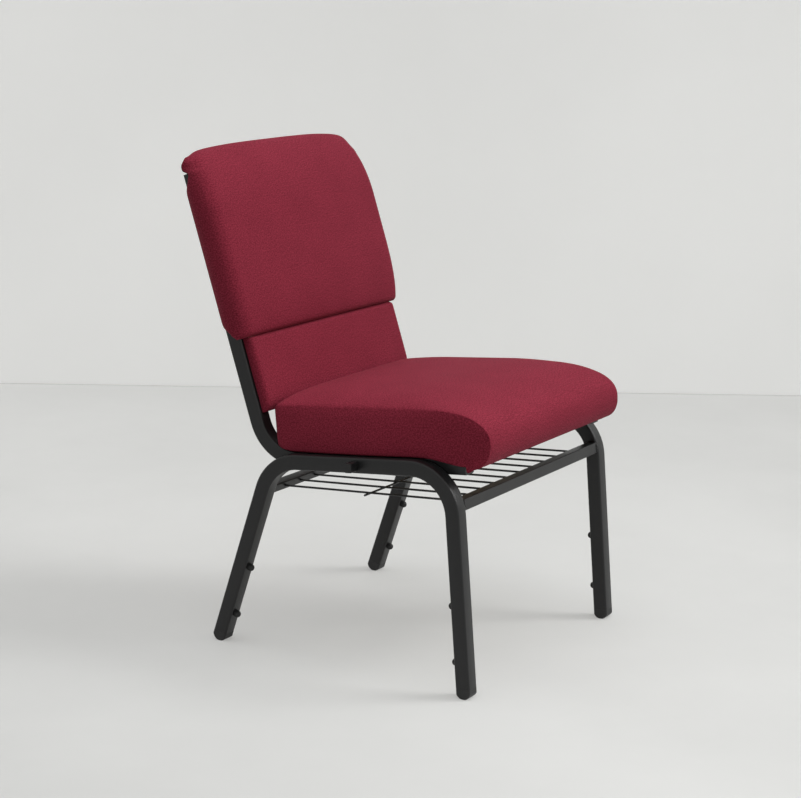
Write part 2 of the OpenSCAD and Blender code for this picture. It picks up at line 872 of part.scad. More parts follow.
function upper_half(h) = pad_half
    - top_corner * edge_fall((h - back_height + top_corner_run) / (top_corner_run + overrun), 2);

function upper_arch(h) = top_arch * max(0, (h - back_height + top_roll) / top_roll);

module back_upper_pad() {
    inner = inner_leg_x + clearance;
    color(fabric_colour) in_back() difference() {
        skin([for (h = upper_heights)
            pad_ring(h, upper_half(h), upper_front(h), min(upper_rear(h), upper_front(h) - pad_least),
                upper_corner, upper_arch(h))]);
        translate([-inner, -tube, 0]) cube([2 * inner, 2 * tube, stile_length + overrun]);
        back_board_pocket();
    }
}

module back_board_pocket() {
    side = back_board_half + clearance;
    translate([-side, -tube - back_board, back_board_low - clearance])
        cube([2 * side, back_board + overrun, back_board_high - back_board_low + 2 * clearance]);
}

lower_top = crease_height - clearance;
lower_height_shares = [0, 0.075, 0.25, 0.55, 1];
lower_heights = concat(
    [for (v = lower_height_shares) pad_bottom + v * lower_roll],
    [(pad_bottom + lower_top) / 2],
    [for (v = reversed(lower_height_shares)) lower_top - v * lower_roll]
);

function lower_front(h) = lower_depth
    - (lower_depth - tube - lower_lip) * edge_fall((pad_bottom + lower_roll - h) / (lower_roll + overrun), 2)
    - lower_crease_drop * edge_fall((h - lower_top + lower_roll) / (lower_roll + overrun), 2);

module back_lower_pad() {
    color(fabric_colour) in_back() difference() {
        skin([for (h = lower_heights)
            pad_ring(h, lower_half, lower_front(h), tube - 2 * overrun, lower_corner, 0)]);
        translate([-outer_x, -tube, 0]) cube([2 * outer_x, tube, crease_height]);
        back_board_pocket();
    }
}

// Rear panel, let in between the stiles and resting on the braces
module back_rear_panel() {
    half = inner_stile_x - clearance;
    color(fabric_colour) in_back()
        translate([-half, -tube + bar, rear_panel_low])
            cube([2 * half, rear_panel, stile_length - rear_panel_low]);
}

left_leg_frame();
right_leg_frame();
left_back_rail();
right_back_rail();
front_seat_bar();
rear_seat_bar();
upper_back_brace();
lower_back_brace();
rack_front_bar();
rack_rear_bar();
rack_wires();
rack_cross_wire();
front_left_foot();
front_right_foot();
rear_left_foot();
rear_right_foot();
front_leg_bumpers();
rear_leg_bumpers();
stile_plugs();
seat_rail_plugs();
ganging_lug();
ganging_socket();
seat_board_panel();
seat_cushion();
back_board_panel();
back_upper_pad();
back_lower_pad();
back_rear_panel();
seat_screws();
seat_tee_nuts();
back_screws();
back_tee_nuts();
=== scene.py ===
import math

import bmesh
import bpy
from mathutils import Matrix, Vector


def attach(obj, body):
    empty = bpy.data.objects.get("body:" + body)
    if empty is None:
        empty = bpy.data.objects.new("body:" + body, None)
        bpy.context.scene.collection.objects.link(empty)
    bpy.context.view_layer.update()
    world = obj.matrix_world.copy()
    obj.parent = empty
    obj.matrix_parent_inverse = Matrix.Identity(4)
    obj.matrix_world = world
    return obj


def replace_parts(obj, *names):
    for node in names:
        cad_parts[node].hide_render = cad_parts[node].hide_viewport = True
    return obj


# Choir chair: its pads, leg frames, rear rack bar and welds are made here, the
# CAD's other pieces get their finishes, and camera, stage and light follow
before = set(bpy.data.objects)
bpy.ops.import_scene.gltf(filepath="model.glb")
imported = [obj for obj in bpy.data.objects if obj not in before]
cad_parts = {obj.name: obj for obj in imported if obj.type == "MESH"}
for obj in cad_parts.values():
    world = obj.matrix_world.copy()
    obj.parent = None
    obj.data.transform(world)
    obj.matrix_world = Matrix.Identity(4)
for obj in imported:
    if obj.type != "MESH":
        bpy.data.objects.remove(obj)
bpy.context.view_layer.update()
scene = bpy.context.scene

mm = 0.001

# Driving sizes of the steel frame, in mm, as in the CAD source
chair = {
    "tube": 25.4, "tubeCorner": 3.2, "legX": 241.3,
    "seatAt": (0, -36.73, 357.78), "seatTilt": -6.4,
    "backAt": (0, 136.75, 322.69), "backRake": -19.3,
}
lapX = chair["legX"] - chair["tube"] / 2  # where the leg frames and the back rails touch


def placed(at, turn):
    return Matrix.Translation(Vector(at) * mm) @ Matrix.Rotation(math.radians(turn), 4, "X")


# Seat frame: y rearward along the rails, z up from their tops.
# Back frame: z up the stiles, -y forward from their rear faces.
seatFrame = placed(chair["seatAt"], chair["seatTilt"])
backFrame = placed(chair["backAt"], chair["backRake"])
inSeat = seatFrame.inverted()
inBack = backFrame.inverted()


# Shader nodes

def newGroup(name, ins, outs):
    group = bpy.data.node_groups.new(name, "ShaderNodeTree")
    for label, kind, value in ins:
        socket = group.interface.new_socket(name=label, in_out="INPUT", socket_type=kind)
        socket.default_value = value
    for label, kind in outs:
        group.interface.new_socket(name=label, in_out="OUTPUT", socket_type=kind)
    return group, group.nodes.new("NodeGroupInput"), group.nodes.new("NodeGroupOutput")


# Sets a socket to a number or a colour, or links another node's output to it
def feed(tree, socket, value):
    if isinstance(value, (int, float)):
        socket.default_value = value
    elif isinstance(value, tuple):
        socket.default_value = (*value, 1.0)
    else:
        tree.links.new(value, socket)


def mathNode(tree, kind, a, b=None):
    node = tree.nodes.new("ShaderNodeMath")
    node.operation = kind
    feed(tree, node.inputs[0], a)
    if b is not None:
        feed(tree, node.inputs[1], b)
    return node.outputs[0]


def noiseNode(tree, vector, scale, detail=2.0, rough=0.5, output="Fac"):
    node = tree.nodes.new("ShaderNodeTexNoise")
    feed(tree, node.inputs["Scale"], scale)
    node.inputs["Detail"].default_value = detail
    node.inputs["Roughness"].default_value = rough
    tree.links.new(vector, node.inputs["Vector"])
    return node.outputs[output]


def stretchNode(tree, vector, factors):
    node = tree.nodes.new("ShaderNodeVectorMath")
    node.operation = "MULTIPLY"
    node.inputs[1].default_value = factors
    tree.links.new(vector, node.inputs[0])
    return node.outputs[0]


def rampNode(tree, fac, low, high, to=(0.0, 1.0)):
    node = tree.nodes.new("ShaderNodeMapRange")
    node.inputs["From Min"].default_value = low
    node.inputs["From Max"].default_value = high
    node.inputs["To Min"].default_value = to[0]
    node.inputs["To Max"].default_value = to[1]
    tree.links.new(fac, node.inputs["Value"])
    return node.outputs["Result"]


def mixNode(tree, kind, fac, a, b):
    node = tree.nodes.new("ShaderNodeMix")
    node.data_type = kind
    feed(tree, node.inputs["Factor"], fac)
    feed(tree, node.inputs["A"], a)
    feed(tree, node.inputs["B"], b)
    return node.outputs["Result"]


def bumpNode(tree, height, strength, distance):
    node = tree.nodes.new("ShaderNodeBump")
    node.inputs["Strength"].default_value = strength
    node.inputs["Distance"].default_value = distance
    tree.links.new(height, node.inputs["Height"])
    return node.outputs["Normal"]


def objectPlace(tree):
    return tree.nodes.new("ShaderNodeTexCoord").outputs["Object"]


# Plain-woven upholstery. Pitch and wobble are in metres and scales per metre of
# the weave map; a share is how much a layer adds to the mix of light and dark
# thread, and a spread how softly.
weave = {
    "pitch": 0.0011, "wobbleScale": 60, "wobble": 0.0007, "checkEdge": 0.6, "checkShare": 0.14,
    "slubAlong": 260, "slubAcross": 2400, "slubShare": 0.32, "slubSpread": 0.15,
    "fleckScale": 420, "fleckShare": 0.46, "fleckSpread": 0.1,
    "cloudScale": 14, "cloudShare": 0.08, "cloudSpread": 0.2,
    "ribHeight": 0.5, "slubHeight": 0.9, "checkHeight": 0.25, "bump": 0.35, "bumpDepth": 0.0003,
    "light": (0.37, 0.037, 0.068), "dark": (0.078, 0.002, 0.008),
    "rough": 0.85, "shine": 0.12, "sheen": 0.06, "sheenRough": 0.4, "sheenTint": (0.75, 0.35, 0.42),
}


def makeWovenCloth():
    tree, start, end = newGroup(
        "wovenCloth",
        [("Light thread", "NodeSocketColor", (*weave["light"], 1)),
         ("Dark thread", "NodeSocketColor", (*weave["dark"], 1)),
         ("Pitch", "NodeSocketFloat", weave["pitch"])],
        [("Color", "NodeSocketColor"), ("Height", "NodeSocketFloat")])
    uvNode = tree.nodes.new("ShaderNodeUVMap")
    uvNode.uv_map = "weave"
    uv = uvNode.outputs["UV"]
    # Threads that wander a little, over and under each other
    shift = tree.nodes.new("ShaderNodeVectorMath")
    shift.operation = "MULTIPLY_ADD"
    tree.links.new(noiseNode(tree, uv, weave["wobbleScale"], output="Color"), shift.inputs[0])
    shift.inputs[1].default_value = (weave["wobble"], weave["wobble"], 0)
    tree.links.new(uv, shift.inputs[2])
    split = tree.nodes.new("ShaderNodeSeparateXYZ")
    tree.links.new(shift.outputs[0], split.inputs[0])
    turn = mathNode(tree, "DIVIDE", 2 * math.pi, start.outputs["Pitch"])
    waves = [mathNode(tree, "SINE", mathNode(tree, "MULTIPLY", split.outputs[axis], turn)) for axis in "XY"]
    over = mathNode(tree, "MULTIPLY", *waves)
    check = rampNode(tree, over, -weave["checkEdge"], weave["checkEdge"])
    ridges = [mathNode(tree, "MULTIPLY", mathNode(tree, "ABSOLUTE", wave), 0.5) for wave in waves]
    ribs = mathNode(tree, "ADD", *ridges)
    # Slubs are long fine streaks one way and the other
    along, across = weave["slubAlong"], weave["slubAcross"]
    streaks = [noiseNode(tree, stretchNode(tree, uv, factors), 1.0, rough=0.6)
               for factors in ((along, across, 1), (across, along, 1))]
    slub = mathNode(tree, "MULTIPLY", mathNode(tree, "ADD", *streaks), 0.5)
    layers = {
        "slub": slub,
        "fleck": noiseNode(tree, uv, weave["fleckScale"], rough=0.75),
        "cloud": noiseNode(tree, uv, weave["cloudScale"], detail=3.0, rough=0.55),
    }
    mixed = mathNode(tree, "MULTIPLY", check, weave["checkShare"])
    for name, layer in layers.items():
        spread = weave[name + "Spread"]
        faded = rampNode(tree, layer, 0.5 - spread, 0.5 + spread)
        mixed = mathNode(tree, "ADD", mixed, mathNode(tree, "MULTIPLY", faded, weave[name + "Share"]))
    colour = mixNode(tree, "RGBA", mixed, start.outputs["Dark thread"], start.outputs["Light thread"])
    tree.links.new(colour, end.inputs["Color"])
    height = mathNode(tree, "ADD", mathNode(tree, "MULTIPLY", ribs, weave["ribHeight"]),
                      mathNode(tree, "MULTIPLY", slub, weave["slubHeight"]))
    tree.links.new(mathNode(tree, "ADD", height, mathNode(tree, "MULTIPLY", over, weave["checkHeight"])),
                   end.inputs["Height"])
    return tree


# Orange peel of powder coat or moulded plastic, with a slow drift and scuffs
peel = {"driftScale": 18, "drift": (0.3, 0.7), "scuffScale": 55, "scuff": (0.58, 0.8), "bumpDepth": 0.0002}


def makeFineGrain():
    tree, start, end = newGroup(
        "fineGrain",
        [("Grain", "NodeSocketFloat", 900.0), ("Rough low", "NodeSocketFloat", 0.35),
         ("Rough high", "NodeSocketFloat", 0.5), ("Base", "NodeSocketColor", (0.03, 0.03, 0.03, 1)),
         ("Worn", "NodeSocketColor", (0.05, 0.05, 0.05, 1))],
        [("Color", "NodeSocketColor"), ("Roughness", "NodeSocketFloat"), ("Height", "NodeSocketFloat")])
    where = objectPlace(tree)
    drift = rampNode(tree, noiseNode(tree, where, peel["driftScale"], detail=3.0, rough=0.6), *peel["drift"])
    scuff = rampNode(tree, noiseNode(tree, where, peel["scuffScale"], detail=5.0, rough=0.7), *peel["scuff"])
    tree.links.new(mixNode(tree, "FLOAT", drift, start.outputs["Rough low"], start.outputs["Rough high"]),
                   end.inputs["Roughness"])
    tree.links.new(mixNode(tree, "RGBA", scuff, start.outputs["Base"], start.outputs["Worn"]),
                   end.inputs["Color"])
    tree.links.new(noiseNode(tree, where, start.outputs["Grain"]), end.inputs["Height"])
    return tree


def newMaterial(name):
    mat = bpy.data.materials.new(name)
    mat.use_nodes = True
    return mat, mat.node_tree, mat.node_tree.nodes["Principled BSDF"]


def placedGroup(tree, group, values):
    node = tree.nodes.new("ShaderNodeGroup")
    node.node_tree = group
    for label, value in values.items():
        feed(tree, node.inputs[label], value)
    return node.outputs


def clothMaterial(name, group, light, dark):
    mat, tree, shader = newMaterial(name)
    threads = placedGroup(tree, group, {"Light thread": light, "Dark thread": dark})
    tree.links.new(threads["Color"], shader.inputs["Base Color"])
    tree.links.new(bumpNode(tree, threads["Height"], weave["bump"], weave["bumpDepth"]),
                   shader.inputs["Normal"])
    shader.inputs["Roughness"].default_value = weave["rough"]
    shader.inputs["Specular IOR Level"].default_value = weave["shine"]
    shader.inputs["Sheen Weight"].default_value = weave["sheen"]
    shader.inputs["Sheen Roughness"].default_value = weave["sheenRough"]
    shader.inputs["Sheen Tint"].default_value = (*weave["sheenTint"], 1)
    return mat


def coatMaterial(coat, group):
    mat, tree, shader = newMaterial(coat["name"])
    fine = placedGroup(tree, group, {"Base": coat["base"], "Worn": coat["worn"], "Grain": coat["grain"],
                                     "Rough low": coat["rough"][0], "Rough high": coat["rough"][1]})
    tree.links.new(fine["Color"], shader.inputs["Base Color"])
    tree.links.new(fine["Roughness"], shader.inputs["Roughness"])
    tree.links.new(bumpNode(tree, fine["Height"], coat["bump"], peel["bumpDepth"]), shader.inputs["Normal"])
    shader.inputs["Specular IOR Level"].default_value = coat["shine"]
    return mat


# Raw plywood with its grain along x, seen only under the seat and behind the back
plywood = {"stretch": (140, 6, 6), "grain": (0.35, 0.7), "pale": (0.55, 0.37, 0.2),
           "brown": (0.38, 0.22, 0.1), "blotch": (0.62, 0.45, 0.27), "blotchScale": 9, "blotchShare": 0.5,
           "bump": 0.3, "bumpDepth": 0.0004, "rough": 0.7}


def plywoodMaterial():
    mat, tree, shader = newMaterial("rawPlywood")
    where = objectPlace(tree)
    grain = noiseNode(tree, stretchNode(tree, where, plywood["stretch"]), 1.0, detail=6.0, rough=0.6)
    blotch = mathNode(tree, "MULTIPLY", noiseNode(tree, where, plywood["blotchScale"], detail=3.0),
                      plywood["blotchShare"])
    face = mixNode(tree, "RGBA", rampNode(tree, grain, *plywood["grain"]), plywood["pale"], plywood["brown"])
    tree.links.new(mixNode(tree, "RGBA", blotch, face, plywood["blotch"]), shader.inputs["Base Color"])
    tree.links.new(bumpNode(tree, grain, plywood["bump"], plywood["bumpDepth"]), shader.inputs["Normal"])
    shader.inputs["Roughness"].default_value = plywood["rough"]
    return mat


# Zinc plating of the screws and tee nuts
zinc = {"hazeScale": 160, "haze": (0.3, 0.7), "dull": (0.52, 0.53, 0.53), "bright": (0.68, 0.68, 0.66),
        "rough": (0.25, 0.42)}


def zincMaterial():
    mat, tree, shader = newMaterial("zincPlate")
    haze = noiseNode(tree, objectPlace(tree), zinc["hazeScale"], detail=4.0, rough=0.6)
    tree.links.new(mixNode(tree, "RGBA", haze, zinc["dull"], zinc["bright"]), shader.inputs["Base Color"])
    tree.links.new(rampNode(tree, haze, *zinc["haze"], zinc["rough"]), shader.inputs["Roughness"])
    shader.inputs["Metallic"].default_value = 1.0
    return mat


# Black finishes: colours, range of roughness, grain per metre, bump and shine
coats = {
    "frame": {"name": "blackPowderCoat", "base": (0.008, 0.008, 0.0085), "worn": (0.014, 0.014, 0.014),
              "rough": (0.3, 0.4), "grain": 1100, "bump": 0.25, "shine": 0.42},
    "wire": {"name": "blackWire", "base": (0.006, 0.006, 0.006), "worn": (0.012, 0.012, 0.012),
             "rough": (0.35, 0.5), "grain": 1100, "bump": 0.2, "shine": 0.5},
    "plastic": {"name": "blackPlastic", "base": (0.007, 0.007, 0.0075), "worn": (0.016, 0.016, 0.016),
                "rough": (0.42, 0.6), "grain": 1500, "bump": 0.25, "shine": 0.5},
    "rubber": {"name": "blackRubber", "base": (0.006, 0.006, 0.006), "worn": (0.012, 0.012, 0.012),
               "rough": (0.6, 0.75), "grain": 1300, "bump": 0.3, "shine": 0.5},
}

material = {"cloth": clothMaterial("maroonCloth", makeWovenCloth(), weave["light"], weave["dark"])}
fineGrain = makeFineGrain()
for kind, coat in coats.items():
    material[kind] = coatMaterial(coat, fineGrain)
material["plywood"] = plywoodMaterial()
material["zinc"] = zincMaterial()
print("materials made")


# Meshes

def newObject(name, points, faces, matrix, mat):
    mesh = bpy.data.meshes.new(name)
    mesh.from_pydata([matrix @ (Vector(p) * mm) for p in points], [], faces)
    mesh.validate()
    obj = bpy.data.objects.new(name, mesh)
    scene.collection.objects.link(obj)
    obj.data.materials.append(mat)
    return obj


def smoothShade(obj, angle=None):
    for face in obj.data.polygons:
        face.use_smooth = True
    if angle is not None:
        obj.data.set_sharp_from_angle(angle=math.radians(angle))


# Faces turned outward, after points closer than merge are joined and faces
# with more than four sides are split if asked for
def outward(obj, merge=0.0, split=False):
    work = bmesh.new()
    work.from_mesh(obj.data)
    if merge > 0:
        bmesh.ops.remove_doubles(work, verts=work.verts, dist=merge)
    if split:
        bmesh.ops.triangulate(work, faces=[f for f in work.faces if len(f.verts) > 4])
    bmesh.ops.recalc_face_normals(work, faces=work.faces)
    work.to_mesh(obj.data)
    work.free()


# Quads between rings of count points each, which follow on from point base
def ringFaces(rings, count, base=0):
    return [(base + i * count + j, base + i * count + (j + 1) % count,
             base + (i + 1) * count + (j + 1) % count, base + (i + 1) * count + j)
            for i in range(rings - 1) for j in range(count)]


def endCaps(first, last, count):
    return [tuple(range(first, first + count)), tuple(reversed(range(last, last + count)))]


def applyModifiers(obj):
    depsgraph = bpy.context.evaluated_depsgraph_get()
    mesh = bpy.data.meshes.new_from_object(obj.evaluated_get(depsgraph))
    old = obj.data
    obj.modifiers.clear()
    obj.data = mesh
    bpy.data.meshes.remove(old)


def subdivide(obj):
    mod = obj.modifiers.new("smooth", "SUBSURF")
    mod.levels = mod.render_levels = 1
    mod.boundary_smooth = "PRESERVE_CORNERS"
    applyModifiers(obj)


# The weave follows each panel: two axes of the piece's own frame, in metres
def weaveMap(obj, inverse):
    turn = inverse.to_3x3()
    layer = obj.data.uv_layers.new(name="weave")
    for face in obj.data.polygons:
        normal = turn @ face.normal
        axis = max(range(3), key=lambda k: abs(normal[k]))
        for loop in face.loop_indices:
            p = inverse @ obj.data.vertices[obj.data.loops[loop].vertex_index].co
            layer.data[loop].uv = ((p.y, p.z), (p.x, p.z), (p.x, p.y))[axis]


# From 0 to 1 like the outline of a rounded edge, flat at first; 2 is a circle
def edgeFall(u, power=2):
    u = min(1.0, max(0.0, u))
    return 1 - max(0.0, 1 - u ** power) ** (1 / power)


def eased(u):
    u = min(1.0, max(0.0, u))
    return u * u * (3 - 2 * u)


# Fabric puffs between what holds it: held points stay, the movement is evened
# out over its neighbours, and no point moves further than the cap
puffing = {"frames": 20, "evening": 24, "stretch": 18, "bend": 0.6, "quality": 6}


def puff(obj, held, cap, pressure):
    before = [v.co.copy() for v in obj.data.vertices]
    group = obj.vertex_groups.new(name="held")
    group.add(sorted(held), 1.0, "REPLACE")
    cloth = obj.modifiers.new("cloth", "CLOTH")
    cloth.settings.vertex_group_mass = "held"
    cloth.settings.effector_weights.gravity = 0
    cloth.settings.use_pressure = True
    cloth.settings.uniform_pressure_force = pressure
    cloth.settings.tension_stiffness = cloth.settings.compression_stiffness = puffing["stretch"]
    cloth.settings.bending_stiffness = puffing["bend"]
    cloth.settings.quality = puffing["quality"]
    cloth.collision_settings.use_collision = False
    cloth.point_cache.frame_start, cloth.point_cache.frame_end = 1, puffing["frames"]
    for step in range(1, puffing["frames"] + 1):
        scene.frame_set(step)
    applyModifiers(obj)
    scene.frame_set(1)
    moves = [v.co - old for v, old in zip(obj.data.vertices, before)]
    beside = [[] for v in obj.data.vertices]
    for edge in obj.data.edges:
        a, b = edge.vertices
        beside[a].append(b)
        beside[b].append(a)
    for step in range(puffing["evening"]):
        sums = [sum((moves[j] for j in near), moves[i].copy()) for i, near in enumerate(beside)]
        moves = [Vector() if i in held else sums[i] / (len(near) + 1) for i, near in enumerate(beside)]
    most = max(move.length for move in moves)
    for v, old, move in zip(obj.data.vertices, before, moves):
        v.co = old + move * min(1.0, cap * mm / most)
    obj.vertex_groups.clear()
    print(obj.name, "puffed by", round(min(most, cap * mm) / mm, 2), "mm")


# What every pad gets once its form is made
def finishPad(obj, inverse, node, sharp=None):
    subdivide(obj)
    smoothShade(obj, sharp)
    weaveMap(obj, inverse)
    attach(obj, "root")
    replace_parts(obj, node)
    print(obj.name, len(obj.data.vertices), "points")


# Seat cushion: a top panel that wraps over the nose and under it, and two side
# panels sewn to it along its profile. s is y and n is z in the seat frame, mm.
seat = {
    # Side profile: the seams' height, the nose from its top round its tip to its
    # underside, the wall where that turns up to the board, and the rear
    "half": 222.0, "side": 75.0, "skirt": 0.8,
    "nose": -264.0, "noseTop": -160.0, "noseUnder": -231.0, "tip": 23.25, "noseFull": 2.2, "underFull": 2.0,
    "drop": 16.5, "wall": -220.9, "wallPoints": (-3.5, -8.5), "wallFoot": (1.0, 2.0),
    "rear": 143.0, "rearRound": 7.0, "heel": 8.0, "heelRun": 9.0, "heelCut": 3.0,
    # Crown, and how it falls towards the nose, the rear and the two seams
    "crown": 19.0, "crownPower": 1.5, "crownFront": -85.0, "crownRun": 140.0, "frontFall": 0.88,
    "frontPower": 1.6, "crownRear": 83.0, "rearFall": 0.26, "rearPower": 1.5,
    "nearSeam": (4, 0.8), "farSeam": (8, 0.6),
    # Side panels: how far they swell from nose to rear, and fade at both ends
    "bulge": 14.0, "bulgeBase": 0.14, "bulgeArch": 0.95, "bulgeRear": 0.7, "bulgePower": 0.8,
    "noseFade": 22.0, "rearFade": 10.0, "seamRings": 2.2, "seamLow": 3.0, "seamAhead": 0.5,
    # Their middle line, and how they hang over the rail towards the nose
    "middleFront": 26.0, "middleRear": 30.0, "middleLift": 4.0,
    "sagFrom": -138.0, "sagRun": 92.0, "sagDepth": 16.0, "sagOut": 8.5, "sagHigh": 30.0, "sagEnd": 6.0,
    # Bends of the back rails, beside the cushion's lower rear corners
    "bendS": 103.3, "bendN": 63.3, "bendClear": 61.8, "bendInner": 204.2, "bendEase": 5.0,
    # Mesh: steps along the profile and across, closer to the seams
    "noseSteps": 16, "topSteps": 16, "rearSteps": 7, "underSteps": 22, "dropSteps": 8,
    "acrossSteps": 44, "crowding": 0.6, "sideRings": 7, "ringPower": 1.25, "join": 0.0002,
    # Puffing, what is held meanwhile, and the drawn-in seams
    "cap": 1.6, "pressure": 4.0, "heldSeam": 1.0, "heldLow": 2.5, "heldWall": 2.0, "heldRear": 1.0,
    "seamReach": 0.4, "seamAbove": 2.8, "seamDepth": 0.9, "seamCrisp": 0.6,
}


def seatTop(s):
    u = (seat["noseTop"] - s) / (seat["noseTop"] - seat["nose"])
    return seat["side"] - (seat["side"] - seat["tip"]) * edgeFall(u, seat["noseFull"])


def seatUnder(s):
    u = (seat["noseUnder"] - s) / (seat["noseUnder"] - seat["nose"])
    return -seat["drop"] + (seat["drop"] + seat["tip"]) * edgeFall(u, seat["underFull"])


def seatBelly(s):
    u = (s - seat["nose"]) / (seat["rear"] - seat["nose"])
    arch = seat["bulgeArch"] * math.sin(math.pi * u)
    return seat["bulge"] * (seat["bulgeBase"] + arch + seat["bulgeRear"] * u)


def seatRise(s):
    ahead = min(1.0, max(0.0, (seat["crownFront"] - s) / seat["crownRun"]))
    behind = max(0.0, (s - seat["rear"] + seat["crownRear"]) / seat["crownRear"])
    return (seat["crown"] * (1 - seat["frontFall"] * ahead ** seat["frontPower"])
            * (1 - seat["rearFall"] * behind ** seat["rearPower"]))


# The crown falls gently to the near seam and more steeply to the far one
def seatAcross(u):
    inner, outer = seat["nearSeam"] if u < 0 else seat["farSeam"]
    return (1 - abs(u) ** inner) ** outer


# Beside the bends of the back rails the cushion's lower rear corner is drawn in
def offBend(x, s, n):
    share = eased((abs(x) - seat["bendInner"] + seat["bendEase"]) / seat["bendEase"])
    ds, dn = s - seat["bendS"], n - seat["bendN"]
    reach = math.hypot(ds, dn)
    if share <= 0 or ds < 0 or dn > 0 or reach < seat["bendClear"]:
        return x, s, n
    keep = 1 + (seat["bendClear"] / reach - 1) * share
    return x, seat["bendS"] + ds * keep, seat["bendN"] + dn * keep


# Side profile as a closed loop of (s, n), from the nose tip over the top to
# the rear, down, forward under the board and round the nose from below
def seatProfile():
    nose, noseTop, noseUnder = seat["nose"], seat["noseTop"], seat["noseUnder"]
    rear, side, skirt, wall = seat["rear"], seat["side"], seat["skirt"], seat["wall"]
    bend, heel, heelAt = seat["rearRound"], seat["heel"], seat["rear"] - seat["heelRun"]
    loop = []
    for i in range(seat["noseSteps"] + 1):
        s = nose + (noseTop - nose) * (1 - math.cos(math.pi / 2 * i / seat["noseSteps"]))
        loop.append((s, seatTop(s)))
    for i in range(1, seat["topSteps"] + 1):
        loop.append((noseTop + (rear - bend - noseTop) * i / seat["topSteps"], side))
    for a in (30, 60, 90):
        a = math.radians(a)
        loop.append((rear - bend + bend * math.sin(a), side - bend + bend * math.cos(a)))
    for i in range(1, seat["rearSteps"] + 1):
        loop.append((rear, side - bend - (side - bend - heel) * i / seat["rearSteps"]))
    loop += [(rear - seat["heelCut"], skirt + seat["heelCut"]), (heelAt, skirt)]
    for i in range(1, seat["underSteps"] + 1):
        loop.append((heelAt - (heelAt - wall) * i / seat["underSteps"], skirt))
    loop += [(wall, n) for n in seat["wallPoints"]]
    loop.append((wall - seat["wallFoot"][0], -seat["drop"] + seat["wallFoot"][1]))
    for i in range(1, seat["dropSteps"] + 1):
        s = noseUnder - (noseUnder - nose) * math.sin(math.pi / 2 * (i - 0.5) / seat["dropSteps"])
        loop.append((s, seatUnder(s)))
    return loop


def seatTopPoint(u, s, n):
    lift = 0.0
    if n > seat["tip"]:
        span = max(1.0, seatTop(s) - seat["tip"])
        lift = seatRise(s) * min(1.0, (n - seat["tip"]) / span) ** seat["crownPower"]
    return offBend(u * seat["half"], s, n + lift * seatAcross(u))


# Point of a side panel: (s, n) on the seam drawn in by its ring towards the
# panel's middle line, and out from the seam by the swelling or the sag
def seatSidePoint(hand, ring, s, n):
    nose, rear, wall = seat["nose"], seat["rear"], seat["wall"]
    share = (ring / (seat["sideRings"] + 0.5)) ** seat["ringPower"]  # the last ring stops just short
    middleS = min(max(s, nose + seat["middleFront"]), rear - seat["middleRear"])
    middleN = (seatTop(s) + seatUnder(s)) / 2 + seat["middleLift"]
    inS, inN = s + (middleS - s) * share, n + (middleN - n) * share
    height = (inN - seatUnder(inS)) / max(1.0, seatTop(inS) - seatUnder(inS))
    endward = max(0.0, min(1.0, (inS - nose) / seat["noseFade"], (rear - inS) / seat["rearFade"]))
    swell = seatBelly(inS) * math.sin(math.pi / 2 * (1 - min(1, max(0, height))) ** seat["bulgePower"])
    if n > seat["seamLow"] or s < wall - seat["seamAhead"]:
        swell *= min(1.0, ring / seat["seamRings"])
    # Towards the nose the panel hangs down over the rail's side
    base = seat["skirt"] if inS > wall else seatUnder(inS)
    sag = eased((seat["sagFrom"] - inS) / seat["sagRun"]) * max(0.0, 1 - (inN - base) / seat["sagHigh"])
    if inS > wall - seat["sagEnd"]:
        inN -= seat["sagDepth"] * sag * min(1.0, (inS - wall + seat["sagEnd"]) / seat["sagEnd"])
    out = max(swell, seat["sagOut"] * sag) * endward
    return offBend(hand * (seat["half"] + out), inS, inN)


def makeSeatCushion():
    profile = seatProfile()
    count, steps = len(profile), seat["acrossSteps"]
    points, faces = [], []
    for j in range(steps + 1):
        even = 2 * j / steps - 1
        u = math.sin(math.pi / 2 * even) * seat["crowding"] + even * (1 - seat["crowding"])
        points += [seatTopPoint(u, s, n) for s, n in profile]
    for j in range(steps):
        for i in range(count):
            a, b = j * count + i, j * count + (i + 1) % count
            faces.append((a, b, b + count, a + count))
    for hand in (-1, 1):
        edge = 0 if hand < 0 else steps * count
        last = [edge + i for i in range(count)]
        for ring in range(seat["sideRings"] + 1):
            fresh = [len(points) + i for i in range(count)]
            points += [seatSidePoint(hand, ring, s, n) for s, n in profile]
            for i in range(count):
                a, b = last[i], last[(i + 1) % count]
                c, d = fresh[(i + 1) % count], fresh[i]
                faces.append((a, d, c, b) if hand < 0 else (a, b, c, d))
            last = fresh
        faces.append(tuple(last) if hand > 0 else tuple(reversed(last)))
    obj = newObject("seatCushion", points, faces, seatFrame, material["cloth"])
    outward(obj, seat["join"], split=True)
    return obj


# The cushion is held along its seams, over the board and at the rear
def seatHeld(obj):
    held = set()
    for v in obj.data.vertices:
        p = (inSeat @ v.co) / mm
        onSeam = abs(abs(p.x) - seat["half"]) < seat["heldSeam"]
        under = p.z < seat["heldLow"] and p.y > seat["wall"] - seat["heldWall"]
        if onSeam or under or p.y > seat["rear"] - seat["heldRear"]:
            held.add(v.index)
    return held


